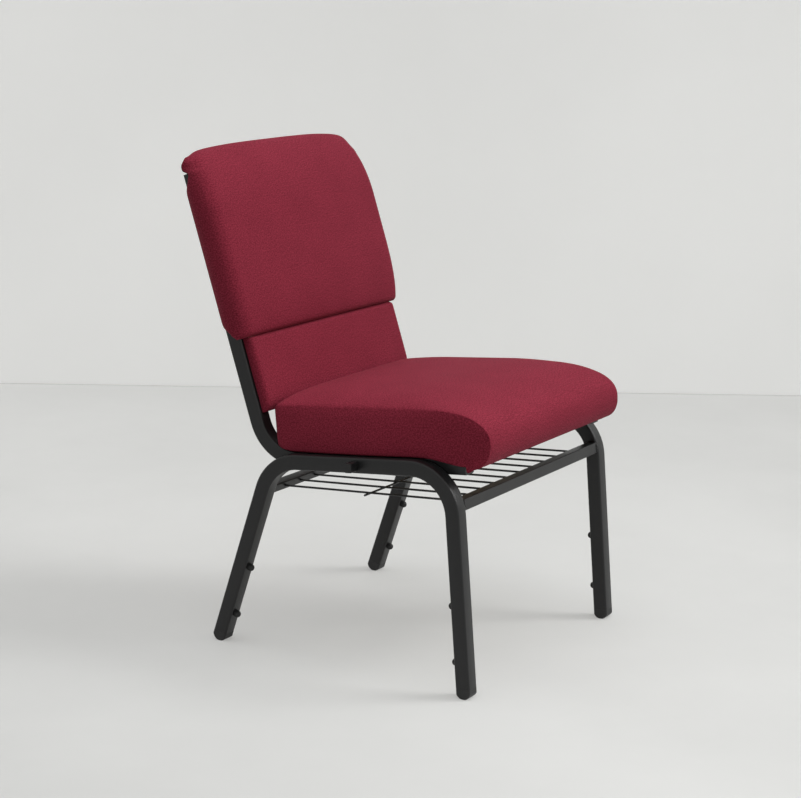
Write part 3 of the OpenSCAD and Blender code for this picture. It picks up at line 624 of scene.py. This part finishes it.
# The seams between the top panel and the sides are drawn in and kept crisp
def drawSeams(obj):
    onSeam = set()
    for v in obj.data.vertices:
        p = (inSeat @ v.co) / mm
        if abs(abs(p.x) - seat["half"]) < seat["seamReach"] and p.z > seat["seamAbove"]:
            onSeam.add(v.index)
    moves = {i: obj.data.vertices[i].normal * seat["seamDepth"] * mm for i in onSeam}
    for i, move in moves.items():
        obj.data.vertices[i].co -= move
    crisp = obj.data.attributes.new("crease_edge", "FLOAT", "EDGE")
    for edge in obj.data.edges:
        if edge.vertices[0] in onSeam and edge.vertices[1] in onSeam:
            crisp.data[edge.index].value = seat["seamCrisp"]
    print("seam points", len(onSeam))


seatCushion = makeSeatCushion()
puff(seatCushion, seatHeld(seatCushion), seat["cap"], seat["pressure"])
drawSeams(seatCushion)
finishPad(seatCushion, inSeat, node="seat_cushion")


# Back: an upper pad wrapped round its board and over the stiles, a flatter
# lower pad, and a thin rear panel between the stiles. h is z in the back
# frame and depth is measured forward from the stiles' rear faces, mm.
back = {
    "half": 233.0, "height": 527.0, "depth": 56.0, "corner": 28.0, "cornerShare": 0.85, "frontCrown": 5.0,
    "bulge": 15.0, "inner": lapX + 0.4, "face": chair["tube"] + 0.2, "stileTop": 485.2, "thinnest": 1.2,
    # Rolls over the top edge and into the crease between the pads
    "topRoll": 127.0, "rollBase": 12.0, "crease": 199.6, "creaseRoll": 102.0, "creaseDepth": 42.0,
    "tuck": 12.0, "tuckRun": 6.0, "rollSlack": 0.5, "tuckSlack": 0.2,
    # Where its sides end at the rear, as (h, depth): back along the stiles,
    # forward again below their tops, then the lip that covers the tops
    "rearOutline": [(200, chair["tube"]), (224, 0.2), (463.2, 0.2), (485, 17),
                    (491, 17), (496.5, 6), (509.4, 6), (523.6, 13)],
    # The arched top, and the lip, which hangs lower at the left corner than at
    # the right; pairs are left and right
    "arch": 9.0, "archPower": (3, 4), "topCorner": 8.0, "topCornerRun": 15.0,
    "lipFrom": 492.0, "lipDrop": 6.5, "lipPower": 1.5, "lipShare": (1.0, 0.15), "lipStart": 0.84,
    # How full the sides are: by the fold, above it, and thinner to the top
    "fullLow": 0.5, "fullLowTo": 300.0, "fullHigh": 0.3, "fullFade": 0.26, "fadeFrom": 508.0, "fadeRun": 19.0,
    "fullReach": 12.0,
    # Where the rings of points lie, closer where the form turns
    "foldRings": (0, 0.004, 0.013, 0.027, 0.045, 0.08, 0.15, 0.24, 0.36, 0.5, 0.68, 0.84, 1),
    "flatSteps": 5, "rollRings": (0.88, 0.76, 0.65, 0.55, 0.48, 0.41, 0.36), "stileRings": (-1.5, 0.0, 0.5),
    "lipRings": (488.4, 491, 494, 499, 504.5, 509.5, 514.5, 519, 522.5, 525.3),
    "acrossSteps": 22, "join": 0.00005, "cap": 1.6, "pressure": 4.0, "heldLow": 2.0, "heldHigh": 2.0,
}


# Value at x in a table of (x, value), straight between its rows
def lookUp(table, x):
    if x <= table[0][0]:
        return table[0][1]
    for (a, atA), (b, atB) in zip(table, table[1:]):
        if x <= b:
            return atA + (atB - atA) * (x - a) / (b - a)
    return table[-1][1]


def upperFront(h):
    over = edgeFall((h - back["height"] + back["topRoll"]) / (back["topRoll"] + back["rollSlack"]))
    fold = edgeFall((back["crease"] + back["creaseRoll"] - h) / (back["creaseRoll"] + back["rollSlack"]))
    tuck = edgeFall((back["crease"] + back["tuckRun"] - h) / (back["tuckRun"] + back["tuckSlack"]))
    return (back["depth"] - (back["depth"] - back["rollBase"]) * over
            - (back["depth"] - back["creaseDepth"]) * fold - back["tuck"] * tuck)


def upperHalf(h):
    run = back["topCornerRun"]
    return back["half"] - back["topCorner"] * edgeFall((h - back["height"] + run) / (run + back["rollSlack"]))


# Share of the pad's full depth at this height, which its sides swell with
def upperFull(h):
    least = back["fullLow"]
    if h >= back["fullLowTo"]:
        least = back["fullHigh"] - back["fullFade"] * eased((h - back["fadeFrom"]) / back["fadeRun"])
    over = upperFront(h) - back["creaseDepth"] + back["fullReach"]
    return min(1.0, max(least, over / (back["depth"] - back["creaseDepth"] + back["fullReach"])))


# How far a point lies below its ring's height: the arched top and the lip
def upperDrop(x, half, h):
    side = 0 if x < 0 else 1
    out = abs(x / half)
    arch = back["arch"] * max(0.0, (h - back["height"] + back["topRoll"]) / back["topRoll"])
    high = max(0.0, (h - back["lipFrom"]) / (back["height"] - back["lipFrom"]))
    lip = back["lipDrop"] * high ** back["lipPower"] * back["lipShare"][side]
    cornerward = eased((out - back["lipStart"]) / (1 - back["lipStart"]))
    return arch * min(1.0, out) ** back["archPower"][side] + lip * cornerward


# How a pad's rings are laid: steps up the side, angles round the corner, and
# how far the inside lies from the outside
padMesh = {"sideSteps": 3, "corner": (90, 75, 60, 45, 30, 15), "sideInset": 0.9, "rearInset": 3.6,
           "innerInset": 0.5}


# One ring across a pad: over the front from left to right, then back inside.
# hold is where the side starts at the rear and half where it meets the corner;
# inner is where the side's inner face lies, or None where the rear is whole
def padRing(hold, half, front, rear, corner, crown, across, inner=None, face=None):
    deep = min(corner, back["cornerShare"] * (front - rear))
    flat = half - corner
    steps = padMesh["sideSteps"]
    left = []
    for k in range(steps):
        out = hold + (half - hold) * math.sin(math.pi / 2 * k / steps)
        left.append((-out, rear + (front - deep - rear) * k / steps))
    for a in padMesh["corner"]:
        a = math.radians(a)
        left.append((-flat - corner * math.sin(a), front - deep * (1 - math.cos(a))))
    middle = []
    for i in range(across + 1):
        u = 2 * i / across - 1
        middle.append((u * flat, front + crown * (1 - u * u)))
    outer = left + middle + [(-x, d) for x, d in reversed(left)]
    if inner is None:
        within = [(x + k * padMesh["sideInset"], rear) for k, (x, d) in enumerate(left[:steps])]
        within += [(x * (half - padMesh["rearInset"]) / half, rear) for x, d in left[steps:]]
        within += [(x, rear) for x, d in middle]
    else:
        within = [(-inner, rear + max(0.0, face - rear) * k / (steps - 1)) for k in range(steps)]
        within += [(x * (inner - padMesh["innerInset"]) / half, face) for x, d in left[steps:]]
        within += [(x, face) for x, d in middle]
    within += [(-x, d) for x, d in reversed(within[:len(left)])]
    return outer + within[::-1]


# Closed pad from its rings; at both ends the front is stitched to the inside
def closedRings(name, rings):
    count = len(rings[0])
    points = [p for ring in rings for p in ring]
    faces = ringFaces(len(rings), count)
    for start in (0, (len(rings) - 1) * count):
        for j in range(count // 2 - 1):
            faces.append((start + j, start + j + 1, start + count - 2 - j, start + count - 1 - j))
    obj = newObject(name, points, faces, backFrame, material["cloth"])
    outward(obj, back["join"])
    return obj


def makeUpperPad():
    foldTop = back["crease"] + back["creaseRoll"]
    rollFoot = back["height"] - back["topRoll"]
    stileTop, steps = back["stileTop"], back["flatSteps"]
    heights = [back["crease"] + v * back["creaseRoll"] for v in back["foldRings"]]
    heights += [foldTop + (rollFoot - foldTop) * i / steps for i in range(1, steps + 1)]
    heights += [back["height"] - v * back["topRoll"] for v in back["rollRings"]]
    heights += [stileTop + v for v in back["stileRings"]]
    heights += [*back["lipRings"], back["height"]]
    rings = []
    for h in heights:
        half, full = upperHalf(h), upperFull(h)
        rear = min(lookUp(back["rearOutline"], h), upperFront(h) - back["thinnest"])
        ring = padRing(half, half + back["bulge"] * full, upperFront(h), rear, back["corner"],
                       back["frontCrown"] * full, back["acrossSteps"],
                       None if h > stileTop else back["inner"], back["face"])
        rings.append([(x, -d, h - upperDrop(x, half, h)) for x, d in ring])
    return closedRings("upperPad", rings)


# A pad is held within 1 mm of its board and at its top and bottom
def padHeld(obj, low, high):
    held = set()
    for v in obj.data.vertices:
        p = (inBack @ v.co) / mm
        if -p.y < back["face"] + 1 or p.z < low or p.z > high:
            held.add(v.index)
    return held


upperPad = makeUpperPad()
puff(upperPad, padHeld(upperPad, back["crease"] + back["heldLow"], back["height"] - back["heldHigh"]),
     back["cap"], back["pressure"])
finishPad(upperPad, inBack, node="back_upper_pad", sharp=60)

# The lower pad ends just inside the upper one's crease, and rolls under at its foot
lower = {
    "half": lapX - 7.0, "low": 73.0, "high": back["crease"] + 0.2, "depth": back["creaseDepth"],
    "corner": 9.5, "crown": 4.0, "roll": 20.6, "lip": 3.0, "rollSlack": 0.5,
    "creaseDrop": 12.0, "creaseRun": 7.5, "creaseSlack": 0.3,
    "rollRings": (0, 0.03, 0.09, 0.2, 0.38, 0.65, 1), "flatSteps": 5, "creaseStart": 1.6,
    "acrossSteps": 20, "cap": 1.2, "pressure": 3.0, "heldLow": 1.0, "heldHigh": 4.0,
}


def lowerFront(h):
    under = edgeFall((lower["low"] + lower["roll"] - h) / (lower["roll"] + lower["rollSlack"]))
    fold = edgeFall((h - lower["high"] + lower["creaseRun"]) / (lower["creaseRun"] + lower["creaseSlack"]))
    return (lower["depth"] - (lower["depth"] - chair["tube"] - lower["lip"]) * under
            - lower["creaseDrop"] * fold)


def makeLowerPad():
    low, high, roll, steps = lower["low"], lower["high"], lower["roll"], lower["flatSteps"]
    heights = [low + v * roll for v in lower["rollRings"]]
    heights += [low + roll + (high - low - 2 * roll) * i / steps for i in range(1, steps)]
    heights += [high - v * lower["creaseRun"] for v in (lower["creaseStart"], *reversed(lower["rollRings"]))]
    rings = []
    for h in heights:
        ring = padRing(lower["half"], lower["half"], lowerFront(h), back["face"], lower["corner"],
                       lower["crown"], lower["acrossSteps"])
        rings.append([(x, -d, h) for x, d in ring])
    return closedRings("lowerPad", rings)


lowerPad = makeLowerPad()
puff(lowerPad, padHeld(lowerPad, lower["low"] + lower["heldLow"], lower["high"] - lower["heldHigh"]),
     lower["cap"], lower["pressure"])
finishPad(lowerPad, inBack, node="back_lower_pad", sharp=60)


# Thin fabric-covered board seen from behind: rounded edges, slightly crowned
rearPanel = {
    "half": lapX - chair["tube"] - 0.6, "low": 80.0, "high": 490.0, "near": 0.4, "far": 6.2, "edge": 1.8,
    "edgeInset": 0.5, "frontEdge": 0.8, "frontInset": 0.6, "crown": 0.2, "crownEdge": 0.25,
    "columns": 26, "rows": 24,
}


# Loop of (x, h) round the panel, from its lower left corner to the right
def panelLoop(inset):
    columns, rows = rearPanel["columns"], rearPanel["rows"]
    right, low, high = rearPanel["half"] - inset, rearPanel["low"] + inset, rearPanel["high"] - inset
    loop = [(-right + 2 * right * i / columns, low) for i in range(columns)]
    loop += [(right, low + (high - low) * i / rows) for i in range(rows)]
    loop += [(right - 2 * right * i / columns, high) for i in range(columns)]
    loop += [(-right, high - (high - low) * i / rows) for i in range(rows)]
    return loop


def makeRearPanel():
    columns, rows = rearPanel["columns"], rearPanel["rows"]
    near, far, edge = rearPanel["near"], rearPanel["far"], rearPanel["edge"]
    count = 2 * (columns + rows)
    rim = near + rearPanel["crownEdge"]
    # Loops from the front round the edge to the rear face, each with its inset and depth
    loops = [(rearPanel["frontInset"], far), (0, far - rearPanel["frontEdge"]), (0, near + edge),
             (rearPanel["edgeInset"], near + edge / 2), (edge, rim)]
    points = [(x, -d, h) for inset, d in loops for x, h in panelLoop(inset)]
    faces = ringFaces(len(loops), count)
    # The rear face is a grid whose border is the last loop
    base = (len(loops) - 1) * count
    grid = {}
    for i in range(columns):
        grid[i, 0] = base + i
        grid[columns - i, rows] = base + columns + rows + i
    for j in range(rows):
        grid[columns, j] = base + columns + j
        grid[0, rows - j] = base + 2 * columns + rows + j
    right, low, high = rearPanel["half"] - edge, rearPanel["low"] + edge, rearPanel["high"] - edge
    for i in range(1, columns):
        for j in range(1, rows):
            u, v = 2 * i / columns - 1, 2 * j / rows - 1
            depth = rim - rearPanel["crown"] * (1 - u ** 4) * (1 - v ** 4)
            grid[i, j] = len(points)
            points.append((right * u, -depth, low + (high - low) * j / rows))
    for i in range(columns):
        for j in range(rows):
            faces.append((grid[i, j], grid[i + 1, j], grid[i + 1, j + 1], grid[i, j + 1]))
    faces.append(tuple(range(count)))
    obj = newObject("rearPanel", points, faces, backFrame, material["cloth"])
    outward(obj)
    smoothShade(obj, 50)
    weaveMap(obj, inBack)
    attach(obj, "root")
    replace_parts(obj, "back_rear_panel")


makeRearPanel()
print("back pieces made")


# Leg frames: each one square tube, bent front and rear. Points are (y, z) in mm
# in the side view; the tubes leave their foot caps at the height of the collar.
leg = {
    "frontFoot": (-278.433, 0), "rearFoot": (204.967, 0), "frontLean": 5.8, "rearLean": 17.7,
    "railAt": (-36.733, 345), "tilt": 6.4, "collar": 16.8, "frontBend": 74.0, "rearBend": 80.0,
    "bendSteps": 14,
}


# Direction in the side view: 0 degrees points rearward and 90 up
def heading(degrees):
    return Vector((math.cos(math.radians(degrees)), math.sin(math.radians(degrees))))


# Unit vectors up along a leg and forward across it
def legAxes(end):
    angle = 90 - leg["frontLean"] if end == "front" else 90 + leg["rearLean"]
    return heading(angle), heading(angle + 90)


# Where the line from p along u crosses the line from q along v
def meet(p, u, q, v):
    return p + u * ((q - p).x * v.y - (q - p).y * v.x) / (u.x * v.y - u.y * v.x)


# Corner points with a bend radius become arcs; gives points and directions
def bentPath(points, radii, steps):
    path = [(points[0], (points[1] - points[0]).normalized())]
    for before, corner, after, radius in zip(points, points[1:], points[2:], radii):
        arriving, leaving = (corner - before).normalized(), (after - corner).normalized()
        turn = arriving.angle(leaving)
        side = 1 if arriving.x * leaving.y - arriving.y * leaving.x > 0 else -1
        start = corner - arriving * radius * math.tan(turn / 2)
        centre = start + Vector((-arriving.y, arriving.x)) * radius * side
        for k in range(steps + 1):
            spin = Matrix.Rotation(side * turn * k / steps, 2)
            path.append((centre + spin @ (start - centre), spin @ arriving))
    path.append((points[-1], (points[-1] - points[-2]).normalized()))
    return path


# Outline of a square tube with rounded corners
def tubeSection(size, corner, steps=5):
    flat = size / 2 - corner
    loop = []
    for k, (sx, sy) in enumerate(((1, 1), (-1, 1), (-1, -1), (1, -1))):
        for i in range(steps + 1):
            a = math.radians(90 * k + 90 * i / steps)
            loop.append((sx * flat + corner * math.cos(a), sy * flat + corner * math.sin(a)))
    return loop


# A piece of welded steel: closed, with crisp edges where angle is given
def steelPiece(name, points, faces, angle=None):
    obj = newObject(name, points, faces, Matrix(), material["frame"])
    outward(obj)
    smoothShade(obj, angle)
    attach(obj, "root")
    return obj


def legPath():
    rail, along = Vector(leg["railAt"]), heading(-leg["tilt"])
    corners, ends = [], []
    for end in ("front", "rear"):
        foot, up = Vector(leg[end + "Foot"]), legAxes(end)[0]
        corners.append(meet(foot, up, rail, along))
        ends.append(foot + up * leg["collar"] / up.y)
    radii = (leg["frontBend"], leg["rearBend"])
    return corners, bentPath([ends[0], *corners, ends[1]], radii, leg["bendSteps"])


def makeLegTube(name, x, path):
    section = tubeSection(chair["tube"], chair["tubeCorner"])
    count = len(section)
    points = []
    for at, way in path:
        side = Vector((-way.y, way.x))
        points += [(x + u, at.x + side.x * v, at.y + side.y * v) for u, v in section]
    faces = ringFaces(len(path), count) + endCaps(0, len(points) - count, count)
    return steelPiece(name, points, faces, angle=40)


legCorners, legRun = legPath()
for name, hand, node in (("leftLegTube", -1, "left_leg_frame"), ("rightLegTube", 1, "right_leg_frame")):
    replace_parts(makeLegTube(name, hand * chair["legX"], legRun), node)

# Rear bar of the rack: its front and lower faces stay where the wires meet it
rackBar = {"drop": 52.0, "size": 15.0, "full": 19.0, "corner": 1.8, "half": lapX + 0.1}


def rackRearCentre():
    up, forward = legAxes("rear")
    return legCorners[1] - up * rackBar["drop"] + (forward - up) * (rackBar["full"] - rackBar["size"]) / 2


def makeRackRearBar():
    up, forward = legAxes("rear")
    centre = rackRearCentre()
    section = [centre + forward * u - up * v for u, v in tubeSection(rackBar["size"], rackBar["corner"])]
    count = len(section)
    points = [(x, *at) for x in (-rackBar["half"], rackBar["half"]) for at in section]
    bar = steelPiece("rackRearTube", points, ringFaces(2, count) + endCaps(0, count, count), angle=40)
    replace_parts(bar, "rack_rear_bar")


makeRackRearBar()

# Weld beads: lumpy rods that hug a joint line, each ring a little different.
# Those of the rack stand at the four sides of its bars' ends, and those of the
# laps are short stitches under the joint of leg frame and back rail.
weld = {
    "around": 8, "lump": 0.16, "lumpTurn": 2.6, "lumpShift": 1.7, "endSize": 0.35,
    "rackBead": 1.7, "rackSteps": 7, "rackSunk": 0.4, "rackDropFront": 60.0, "rackShort": 1.5,
    "lapBead": 2.4, "lapSteps": 12, "lapStarts": (-165, -75, 15, 90), "lapLength": 26.0, "lapN": -24.6,
}


def weldRings(line, radius, shift):
    rings = []
    for i, at in enumerate(line):
        way = (line[min(i + 1, len(line) - 1)] - line[max(i - 1, 0)]).normalized()
        side = way.orthogonal().normalized()
        over = way.cross(side)
        size = radius * (weld["endSize"] if i in (0, len(line) - 1) else 1.0)
        size *= 1 + weld["lump"] * math.sin(weld["lumpTurn"] * i + shift)
        for k in range(weld["around"]):
            a = 2 * math.pi * k / weld["around"]
            rings.append(tuple(at + (side * math.cos(a) + over * math.sin(a)) * size))
    return rings


def makeWelds(name, lines, radius):
    points, faces = [], []
    for number, line in enumerate(lines):
        start = len(points)
        points += weldRings(line, radius, number * weld["lumpShift"])
        faces += ringFaces(len(line), weld["around"], start)
        faces += endCaps(start, len(points) - weld["around"], weld["around"])
    steelPiece(name, points, faces)


def straightLine(a, b, steps):
    return [a.lerp(b, i / steps) for i in range(steps + 1)]


def rackWelds():
    lines = []
    ends = (("front", legCorners[0] - legAxes("front")[0] * weld["rackDropFront"], rackBar["full"] / 2),
            ("rear", rackRearCentre(), rackBar["size"] / 2))
    for end, centre, half in ends:
        up, forward = legAxes(end)
        reach = half - weld["rackShort"]
        for hand in (-1, 1):
            x = hand * (lapX - weld["rackSunk"])
            for face in (1, -1):
                for out, along in ((forward, up), (up, forward)):
                    middle = centre + out * half * face
                    tips = [Vector((x, *(middle + along * reach * way))) for way in (-1, 1)]
                    lines.append(straightLine(*tips, weld["rackSteps"]))
    return lines


def lapWelds():
    lines = []
    for hand in (-1, 1):
        for start in weld["lapStarts"]:
            tips = [seatFrame @ (Vector((hand * lapX, s, weld["lapN"])) * mm) / mm
                    for s in (start, start + weld["lapLength"])]
            lines.append(straightLine(*tips, weld["lapSteps"]))
    return lines


makeWelds("rackWelds", rackWelds(), weld["rackBead"])
makeWelds("lapWelds", lapWelds(), weld["lapBead"])
print("leg frames and welds made")

# Finishes of the nodes that show as the CAD made them
finish = {
    "frame": ["left_back_rail", "right_back_rail", "front_seat_bar", "rear_seat_bar", "upper_back_brace",
              "lower_back_brace", "rack_front_bar", "ganging_lug", "ganging_socket"],
    "wire": ["rack_wires", "rack_cross_wire"],
    "plastic": ["front_left_foot", "front_right_foot", "rear_left_foot", "rear_right_foot", "stile_plugs",
                "seat_rail_plugs"],
    "rubber": ["front_leg_bumpers", "rear_leg_bumpers"],
    "plywood": ["seat_board_panel", "back_board_panel"],
    "zinc": ["seat_screws", "seat_tee_nuts", "back_screws", "back_tee_nuts"],
}


def dress(node, mat):
    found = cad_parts[node]
    for obj in found if isinstance(found, (list, tuple)) else [found]:
        for materialSlot in obj.material_slots:
            materialSlot.material = mat
        if not obj.material_slots:
            obj.data.materials.append(mat)


for kind, nodes in finish.items():
    for node in nodes:
        dress(node, material[kind])

# Camera fitted to the photograph: place in metres, angles in radians, lens and sensor in mm
camera = {"at": (-2.8784, -1.77593, 1.1692), "turn": -1.016273, "lift": 0.222975, "roll": 0.022415,
          "lens": 91.27, "sensor": 36.0}
toCamera = Vector((math.sin(camera["turn"]) * math.cos(camera["lift"]),
                   -math.cos(camera["turn"]) * math.cos(camera["lift"]), math.sin(camera["lift"])))
upward = Vector((0, 0, 1))
# The camera's view along the floor, and its right
ahead = Vector((-toCamera.x, -toCamera.y, 0)).normalized()
right = Vector((ahead.y, -ahead.x, 0))


def makeCamera():
    data = bpy.data.cameras.new("photoCamera")
    data.lens = camera["lens"]
    data.sensor_width = camera["sensor"]
    data.sensor_fit = "HORIZONTAL"
    obj = bpy.data.objects.new("photoCamera", data)
    scene.collection.objects.link(obj)
    level = (-toCamera).cross(upward).normalized()
    upright = level.cross(-toCamera)
    across = level * math.cos(camera["roll"]) + upright * math.sin(camera["roll"])
    up = upright * math.cos(camera["roll"]) - level * math.sin(camera["roll"])
    turned = Matrix((across, up, toCamera)).transposed().to_4x4()
    obj.matrix_world = Matrix.Translation(Vector(camera["at"])) @ turned
    scene.camera = obj


# Stage: pale studio floor, wall and a thin darker strip of painted shade where
# they meet, in metres and degrees; the joint values give that strip's height,
# place, tone and grain. A glow is how bright it is in the picture, and glowCast the share
# of it that falls on the chair.
stage = {
    "wide": 14.0, "wallAt": 1.887, "wallTurn": 1.77, "joint": 0.0026, "jointAhead": 0.003,
    "floor": (0.37, 0.37, 0.361), "floorGrain": 1.6, "floorGlow": 0.87,
    "wall": (0.72, 0.72, 0.705), "wallGrain": 0.9, "wallGlow": 0.56,
    "jointTone": (0.56, 0.56, 0.545), "jointGrain": 3.0, "glowCast": 0.42,
    "cloud": (0.35, 0.65), "cloudTone": 0.025, "speckScale": 22, "speck": (0.68, 0.8), "speckShare": 0.12,
    "speckTone": 0.6, "rough": 0.75, "shine": 0.2,
    # The floor's painted shade, darker towards the side away from the light: its direction, from where to
    # where, and what is left
    "dimLeft": 0.8, "dimNear": 0.6, "dimFrom": 0.1, "dimTo": 2.0, "dim": 0.64,
}


# 1 for rays that show the backdrop in the picture or in a shiny surface
def seenDirectly(tree):
    ray = tree.nodes.new("ShaderNodeLightPath")
    shown = mathNode(tree, "ADD", ray.outputs["Is Camera Ray"], ray.outputs["Is Glossy Ray"])
    return mathNode(tree, "MINIMUM", mathNode(tree, "ADD", shown, ray.outputs["Is Transmission Ray"]), 1.0)


# Flat paint with faint clouds and specks of its own tone
def makeStudioPaint():
    tree, start, end = newGroup(
        "studioPaint",
        [("Tone", "NodeSocketColor", (*stage["wall"], 1)), ("Grain", "NodeSocketFloat", stage["wallGrain"])],
        [("Color", "NodeSocketColor")])
    where = objectPlace(tree)
    shares = (1 - stage["cloudTone"], 1 + stage["cloudTone"], stage["speckTone"])
    darker, paler, spotted = [stretchNode(tree, start.outputs["Tone"], (v, v, v)) for v in shares]
    cloud = rampNode(tree, noiseNode(tree, where, start.outputs["Grain"], detail=5.0, rough=0.6),
                     *stage["cloud"])
    speck = rampNode(tree, noiseNode(tree, where, stage["speckScale"], detail=4.0, rough=0.75),
                     *stage["speck"], (0.0, stage["speckShare"]))
    clouded = mixNode(tree, "RGBA", cloud, darker, paler)
    tree.links.new(mixNode(tree, "RGBA", speck, clouded, spotted), end.inputs["Color"])
    return tree


# Painted shade: the floor's colour darkens towards the side away from the light
def floorPaintedShade(tree, paint):
    reach = tree.nodes.new("ShaderNodeVectorMath")
    reach.operation = "DOT_PRODUCT"
    tree.links.new(objectPlace(tree), reach.inputs[0])
    reach.inputs[1].default_value = -right * stage["dimLeft"] - ahead * stage["dimNear"]
    share = rampNode(tree, reach.outputs["Value"], stage["dimFrom"], stage["dimTo"])
    return mixNode(tree, "RGBA", mathNode(tree, "MULTIPLY", share, 1 - stage["dim"]), paint, (0.0, 0.0, 0.0))


# Painted surface with a glow as of light off the studio's other walls. Seen
# from behind it lets the camera and the light through.
def stageMaterial(name, group, tone, grain, glow, withPaintedShade=False):
    mat, tree, shader = newMaterial(name)
    paint = placedGroup(tree, group, {"Tone": tone, "Grain": grain})["Color"]
    # The floor's colour gets painted shade towards the side away from the light
    if withPaintedShade:
        paint = floorPaintedShade(tree, paint)
    tree.links.new(paint, shader.inputs["Base Color"])
    shader.inputs["Roughness"].default_value = stage["rough"]
    shader.inputs["Specular IOR Level"].default_value = stage["shine"]
    tree.links.new(paint, shader.inputs["Emission Color"])
    tree.links.new(rampNode(tree, seenDirectly(tree), 0.0, 1.0, (glow * stage["glowCast"], glow)),
                   shader.inputs["Emission Strength"])
    through = tree.nodes.new("ShaderNodeBsdfTransparent")
    side = tree.nodes.new("ShaderNodeNewGeometry")
    choose = tree.nodes.new("ShaderNodeMixShader")
    tree.links.new(side.outputs["Backfacing"], choose.inputs["Fac"])
    tree.links.new(shader.outputs["BSDF"], choose.inputs[1])
    tree.links.new(through.outputs["BSDF"], choose.inputs[2])
    tree.links.new(choose.outputs["Shader"], tree.nodes["Material Output"].inputs["Surface"])
    return mat


# A rectangle that reaches across to both sides of foot, and on from it by rise
def stagePlane(name, foot, across, rise, mat):
    mesh = bpy.data.meshes.new(name)
    corners = [foot - across, foot + across, foot + across + rise, foot - across + rise]
    mesh.from_pydata(corners, [], [(0, 1, 2, 3)])
    obj = bpy.data.objects.new(name, mesh)
    scene.collection.objects.link(obj)
    obj.data.materials.append(mat)


def makeStage():
    wide, group = stage["wide"], makeStudioPaint()
    floor = stageMaterial("floorPaint", group, stage["floor"], stage["floorGrain"], stage["floorGlow"],
                          withPaintedShade=True)
    stagePlane("studioFloor", -ahead * wide, right * wide, ahead * wide * 2, floor)
    foot = ahead * stage["wallAt"]
    across = Matrix.Rotation(math.radians(stage["wallTurn"]), 3, "Z") @ (right * wide)
    wall = stageMaterial("wallPaint", group, stage["wall"], stage["wallGrain"], stage["wallGlow"])
    stagePlane("studioWall", foot, across, upward * wide / 2, wall)
    # A thin darker strip just in front of the wall's foot: painted shade where wall meets floor
    joint = stageMaterial("paintedShadeStrip", group, stage["jointTone"], stage["jointGrain"], stage["wallGlow"])
    stagePlane("paintedShadeAtWallFoot", foot - ahead * stage["jointAhead"], across, upward * stage["joint"], joint)


# Light: a broad soft lamp from the camera's right and a little behind the
# chair, angles in degrees, and a sky like an overhead softbox
light = {"strength": 3.25, "spread": 40.0, "lift": 36.0, "behind": 14.0,
         "sky": 2.6, "skyFall": 4.0, "skyTone": (0.98, 0.99, 1.0), "seen": (0.7, 0.7, 0.685)}


def makeLamp():
    lamp = bpy.data.lights.new("softKey", "SUN")
    lamp.energy = light["strength"]
    lamp.angle = math.radians(light["spread"])
    obj = bpy.data.objects.new("softKey", lamp)
    lift, behind = math.radians(light["lift"]), math.radians(light["behind"])
    level = right * math.cos(behind) + ahead * math.sin(behind)
    obj.rotation_euler = (level * math.cos(lift) + upward * math.sin(lift)).to_track_quat("Z", "Y").to_euler()
    scene.collection.objects.link(obj)


# The sky fades towards the horizon; in the picture it shows as an even pale wall
def makeSky():
    world = bpy.data.worlds.new("studioSky")
    scene.world = world
    world.use_nodes = True
    tree = world.node_tree
    sky = tree.nodes["Background"]
    split = tree.nodes.new("ShaderNodeSeparateXYZ")
    tree.links.new(tree.nodes.new("ShaderNodeTexCoord").outputs["Generated"], split.inputs[0])
    height = mathNode(tree, "MAXIMUM", split.outputs["Z"], 0.0)
    fading = mathNode(tree, "POWER", height, light["skyFall"])
    tree.links.new(mathNode(tree, "MULTIPLY", fading, light["sky"]), sky.inputs["Strength"])
    sky.inputs["Color"].default_value = (*light["skyTone"], 1)
    seen = tree.nodes.new("ShaderNodeBackground")
    seen.inputs["Color"].default_value = (*light["seen"], 1)
    mix = tree.nodes.new("ShaderNodeMixShader")
    tree.links.new(seenDirectly(tree), mix.inputs["Fac"])
    tree.links.new(sky.outputs[0], mix.inputs[1])
    tree.links.new(seen.outputs[0], mix.inputs[2])
    tree.links.new(mix.outputs[0], tree.nodes["World Output"].inputs["Surface"])


makeCamera()
makeStage()
makeLamp()
makeSky()
scene.view_settings.view_transform = "Standard"
print("camera, stage and light made")
